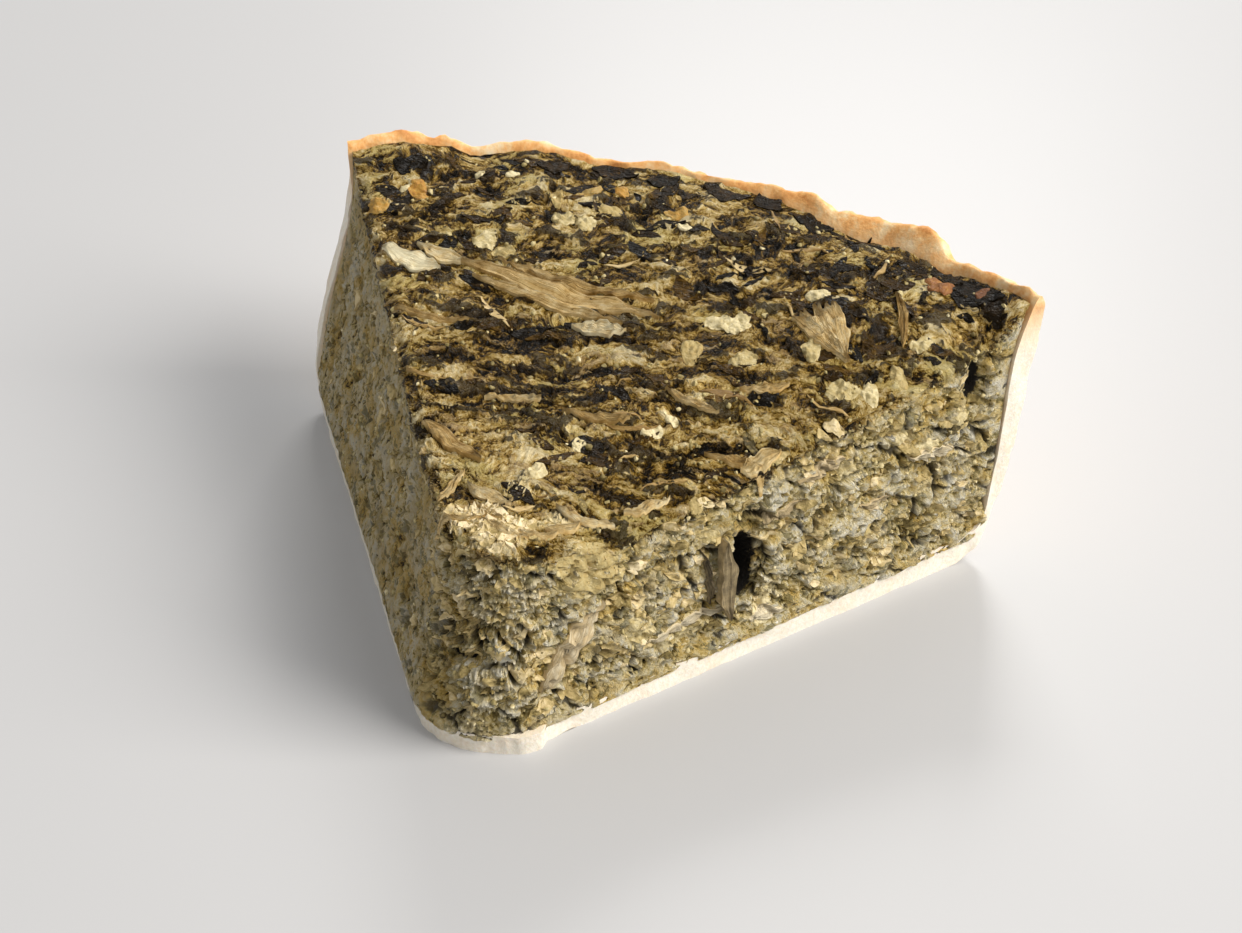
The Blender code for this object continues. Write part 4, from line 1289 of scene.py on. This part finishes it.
def make_shreds(surface, name, count, seed, lengths, width_shares, thickness, lifts, material, tint_of):
    """Chopped leaf scattered over the top, each shred laid on what is under it."""
    draw = random.Random(seed)
    points, faces = take_shape(grid_cube("shred", (6, 3, 1)))
    copies = []
    tints = []
    while len(copies) < count:
        x, y, radius = random_top_place(draw)
        keep, tint = tint_of(draw, x, y, radius)
        if draw.random() > keep:
            continue
        spread = 24.0 if radius < HEADINGS_SPREAD_FROM else 50.0
        heading = STREAK_HEADING + math.radians(draw.gauss(0.0, spread))
        length = draw.uniform(*lengths) * MM
        width = length * draw.uniform(*width_shares)
        lift = draw.uniform(*lifts) * MM
        bend = draw.uniform(-0.16, 0.16)
        shape = strip_shape(points, length, width, thickness * MM, lift, draw.uniform(0.0, 90.0), bend)
        direction = Vector((math.cos(heading), math.sin(heading), 0.0))
        spot = on_top(surface, x * MM, y * MM)
        copy = laid_points(surface, spot, direction, UPWARDS, shape) if spot else None
        if copy:
            copies.append(copy)
            tints.append(tint)
    return join_copies(name, faces, copies, tints, material)


def dark_leaf_material():
    """Leaf baked near black: thin, oily and wrinkled, so it catches small glints."""
    stops = ((0.0, "#0b0701"), (0.3, "#1b1204"), (0.6, "#38270a"), (0.9, "#664b19"))
    return tinted_material("baked_dark_leaf", stops, 0.28, (0.5, 1.0, 1.0), 1.1 * MM, 0.12)


def tan_leaf_material():
    """Leaf ribs and egg skin dried to straw on top: thin, half matt."""
    stops = ((0.0, "#5f4520"), (0.3, "#8a6c38"), (0.6, "#ac8f58"), (0.9, "#ccb685"))
    return tinted_material("dried_leaf_rib", stops, 0.5, (0.35, 1.0, 1.0), 0.4 * MM, 0.3)


def dark_share(draw, x, y, radius):
    """Dark shreds gather towards the wall and in patches."""
    patch = noise.noise(Vector((x * 0.07, y * 0.12, 3.0)))
    return 0.35 + 0.5 * (radius > BACK_STARTS) + 0.6 * patch, draw.uniform(0.0, 0.75)


def tan_share(draw, x, y, radius):
    """Straw shreds gather in front and in the patches that the dark ones leave."""
    patch = noise.noise(Vector((x * 0.07, y * 0.12, 3.0)))
    front = 1.0 - 0.6 * (radius > BACK_STARTS)
    return front * (0.6 - 0.6 * patch), draw.uniform(0.15, 0.85) + 0.15 * (radius < 34.0)


def make_dark_shreds(surface):
    """Shreds of leaf baked dark, thin and broad."""
    lengths, widths, lifts = (2.5, 7.0), (0.2, 0.5), (0.0, 0.25)
    name, material = "dark_leaf_shreds", dark_leaf_material()
    make_shreds(surface, name, DARK_SHREDS, SHRED_SEED, lengths, widths, 0.22, lifts, material, dark_share)


def make_tan_shreds(surface):
    """Shreds of leaf rib and egg skin, long and narrow."""
    lengths, widths, lifts = (2.5, 9.0), (0.06, 0.16), (0.0, 0.2)
    name, material = "tan_leaf_shreds", tan_leaf_material()
    make_shreds(surface, name, TAN_SHREDS, SHRED_SEED + 1, lengths, widths, 0.3, lifts, material, tan_share)


# Dark leaves baked at the wall: x, y, length, width, heading in degrees.
BURNT_LEAVES = (
    (54.0, 91.6, 13.0, 5.0, -22.0),
    (49.0, 95.6, 8.0, 4.4, -40.0),
    (58.6, 89.0, 7.0, 4.0, -60.0),
    (24.0, 104.0, 7.0, 4.4, 20.0),
    (15.0, 107.0, 6.0, 4.6, -30.0),
    (7.0, 107.6, 9.0, 5.0, -8.0),
    (-4.0, 107.0, 6.0, 4.6, 34.0),
    (-13.0, 106.6, 9.0, 5.0, -4.0),
    (-23.0, 104.0, 6.0, 4.0, 40.0),
    (-46.0, 94.0, 6.0, 4.0, 12.0),
)


def make_burnt_leaves(surface):
    """Leaf burnt black where the filling has spilled up the wall, lapping on to the rim in places."""
    points, faces = take_shape(grid_cube("burnt_leaf", (16, 8, 1)))
    copies = []
    for number, (x, y, length, width, heading) in enumerate(BURNT_LEAVES):
        shape = strip_shape(points, length * MM, width * MM, 0.35 * MM, 0.4 * MM, 7.7 * number, 0.06)
        angle = math.radians(heading)
        direction = Vector((math.cos(angle), math.sin(angle), 0.0))
        copy = laid_points(surface, on_top(surface, x * MM, y * MM), direction, UPWARDS, shape, 6.0 * MM)
        if copy:
            copies.append(copy)
    tints = [0.1 + 0.12 * (number % 3) for number in range(len(copies))]
    return join_copies("burnt_leaves", faces, copies, tints, dark_leaf_material())


FLAKE_COUNT = 420
FLAKE_LENGTH = (1.0, 4.6)
# Up to these shares of a draw, flakes and crumbs lie on the right cut, on the left cut and on the point. The
# other flakes lie on the point's upper edge, and the other crumbs on the top.
FLAKE_SHARES = (0.46, 0.54, 0.74)
CRUMB_SHARES = (0.5, 0.66, 0.82)
POINT_ANGLES = (-150.0, -35.0)


def random_cut_place(surface, draw, cut, distances, heights):
    """A place on a cut face and the way out of it, between limits in millimetres."""
    distance = draw.uniform(*distances) * MM
    return on_cut(surface, cut, distance, draw.uniform(*heights) * MM)


def flake_spot(surface, draw):
    """A place for a flake, the way out of the surface, and how far it may lie from level, in degrees."""
    kind = draw.random()
    if kind < FLAKE_SHARES[0]:
        return (*random_cut_place(surface, draw, RIGHT_CUT, (22.0, 103.0), (7.0, 40.0)), 32.0)
    if kind < FLAKE_SHARES[1]:
        return (*random_cut_place(surface, draw, LEFT_CUT_AT_TABLE, (22.0, 100.0), (7.0, 40.0)), 70.0)
    angle = math.radians(draw.uniform(*POINT_ANGLES))
    if kind < FLAKE_SHARES[2]:
        return (*on_point(surface, angle, draw.uniform(6.0, 36.0) * MM), 40.0)
    reach = draw.uniform(3.0, 11.5)
    x = POINT_MIDDLE[0] + math.cos(angle) * reach
    y = POINT_MIDDLE[1] + math.sin(angle) * reach
    return on_top(surface, x * MM, y * MM), UPWARDS, 180.0


def make_flakes(surface):
    """Ragged bits of leaf, egg and stalk that stand a little out of the cut faces and the point's edge."""
    draw = random.Random(8)
    points, faces = take_shape(grid_cube("flake", (8, 4, 1)))
    copies = []
    tints = []
    while len(copies) < FLAKE_COUNT:
        spot, outwards, spread = flake_spot(surface, draw)
        length = draw.triangular(*FLAKE_LENGTH, 1.6) * MM
        width = length * draw.uniform(0.25, 0.7)
        lift = draw.uniform(0.05, 0.45) * MM
        thickness = draw.uniform(0.3, 0.7) * MM
        seed = draw.uniform(0.0, 90.0)
        shape = strip_shape(points, length, width, thickness, lift, seed, draw.uniform(-0.2, 0.2))
        tilt = math.radians(draw.uniform(-spread, spread))
        level = outwards.cross(UPWARDS) if abs(outwards.z) < 0.5 else Vector((1.0, 0.0, 0.0))
        across_level = outwards.cross(level)
        direction = level * math.cos(tilt) + across_level * math.sin(tilt)
        copy = laid_points(surface, spot, direction, outwards, shape) if spot else None
        if copy and not in_the_slot(spot):
            copies.append(copy)
            on_edge = outwards.z > 0.5
            tints.append(draw.uniform(0.35, 0.9) if on_edge else draw.triangular(0.0, 0.85, 0.45))
    stops = (
        (0.0, "#453b1d"),
        (0.25, "#8f7d4a"),
        (0.5, "#c0aa74"),
        (0.75, "#dac79c"),
        (1.0, "#f0e2be"),
    )
    material = tinted_material("cut_leaf_and_egg", stops, 0.55, (0.7, 1.0, 1.0), 0.4 * MM, 0.3)
    return join_copies("cut_flakes", faces, copies, tints, material)


CRUMB_COUNT = 1500
CRUMB_SIZE = (0.35, 1.3)


def crumb_spot(surface, draw):
    """A place for a crumb on a cut face, the point or the top."""
    kind = draw.random()
    if kind < CRUMB_SHARES[0]:
        return random_cut_place(surface, draw, RIGHT_CUT, (18.0, 106.0), (5.5, 42.0))[0]
    if kind < CRUMB_SHARES[1]:
        return random_cut_place(surface, draw, LEFT_CUT_AT_TABLE, (18.0, 104.0), (5.5, 42.0))[0]
    if kind < CRUMB_SHARES[2]:
        angle = math.radians(draw.uniform(*POINT_ANGLES))
        return on_point(surface, angle, draw.uniform(5.0, 38.0) * MM)[0]
    x, y, _ = random_top_place(draw)
    return on_top(surface, x * MM, y * MM)


def make_crumbs(surface):
    """Grains of filling that stand out on the cut faces and a few on the top."""
    draw = random.Random(21)
    deselect_all()
    bpy.ops.mesh.primitive_ico_sphere_add(subdivisions=1, radius=0.5, location=(0.0, 0.0, 0.0))
    points, faces = take_shape(bpy.context.object)
    copies = []
    tints = []
    while len(copies) < CRUMB_COUNT:
        spot = crumb_spot(surface, draw)
        if spot is None or in_the_slot(spot):
            continue
        size = draw.triangular(*CRUMB_SIZE, 0.5) * MM
        flattened = Vector((draw.gauss(0.0, 1.0), draw.gauss(0.0, 1.0), draw.gauss(0.0, 1.0))).normalized()
        loss = draw.uniform(0.0, 0.5)
        copy = []
        for point in points:
            offset = Vector(point) * size * draw.uniform(0.65, 1.35)
            offset -= flattened * offset.dot(flattened) * loss
            copy.append(spot + offset)
        copies.append(copy)
        tints.append(draw.triangular(0.0, 1.0, 0.5))
    stops = ((0.0, "#4a3d1c"), (0.3, "#8d7d4c"), (0.6, "#b4a471"), (0.85, "#d0c08f"), (1.0, "#e9dcb4"))
    material = tinted_material("filling_crumb", stops, 0.55, (1.0, 1.0, 1.0), 0.3 * MM)
    return join_copies("filling_crumbs", faces, copies, tints, material)


def make_stage():
    """A plain pale floor under the slice."""
    deselect_all()
    bpy.ops.mesh.primitive_plane_add(size=3.0, location=(0.0, 0.0, 0.0))
    floor = bpy.context.object
    floor.name = "floor"
    material, _, surface = new_surface("plain_floor")
    surface.inputs["Base Color"].default_value = linear("#bfbfc0")
    surface.inputs["Roughness"].default_value = 0.35
    surface.inputs["Specular IOR Level"].default_value = 0.3
    floor.data.materials.append(material)


# Camera and lights

# The camera's place and lens come from the photo's own perspective.
CAMERA_PLACE = (0.123438, -0.306797, 0.263158)
CAMERA_TILT = math.radians(53.5)
CAMERA_TURN = math.radians(21.2)
CAMERA_LENS = 72.46
# Soft lights: name, place, width, power, colour. One is like a window on the right, and one is behind.
LIGHTS = (
    ("window", (1.32, 0.1, 1.2), 1.0, 39.5, "#fffbf5"),
    ("behind", (-0.3, 1.15, 0.85), 0.45, 7.0, "#fffdfa"),
)
LIGHTS_LOOK_AT = Vector((0.0, 0.0, 0.02))
ROOM_COLOUR = "#f5f5f5"
ROOM_STRENGTH = 0.52


def make_camera():
    """The camera at the photo's viewing angle."""
    camera = bpy.data.cameras.new("camera")
    camera.lens = CAMERA_LENS
    camera.sensor_width = 36.0
    camera.clip_start = 0.01
    holder = bpy.data.objects.new("camera", camera)
    holder.location = CAMERA_PLACE
    holder.rotation_euler = (CAMERA_TILT, 0.0, CAMERA_TURN)
    bpy.context.scene.collection.objects.link(holder)
    bpy.context.scene.camera = holder


def add_area_light(name, place, size, power, colour):
    """A square soft light that looks at the slice."""
    light = bpy.data.lights.new(name, "AREA")
    light.size = size
    light.energy = power
    light.color = linear(colour)[:3]
    holder = bpy.data.objects.new(name, light)
    holder.location = place
    towards = LIGHTS_LOOK_AT - Vector(place)
    holder.rotation_euler = towards.to_track_quat("-Z", "Y").to_euler()
    bpy.context.scene.collection.objects.link(holder)


def make_lights():
    """The soft lights, and a soft fill all round."""
    for light in LIGHTS:
        add_area_light(*light)
    world = bpy.data.worlds.new("room")
    world.use_nodes = True
    background = world.node_tree.nodes["Background"]
    background.inputs["Color"].default_value = linear(ROOM_COLOUR)
    background.inputs["Strength"].default_value = ROOM_STRENGTH
    bpy.context.scene.world = world
    bpy.context.scene.view_settings.view_transform = "Standard"


def main():
    """Makes every piece, the stage, the camera and the lights."""
    filling = make_filling()
    pastry = make_pastry()
    surface = Surface([filling, pastry])
    make_stalks(surface)
    make_cut_stalks(surface)
    make_lumps(surface)
    make_dark_shreds(surface)
    make_tan_shreds(surface)
    make_burnt_leaves(surface)
    make_flakes(surface)
    make_crumbs(surface)
    make_stage()
    make_camera()
    make_lights()


main()
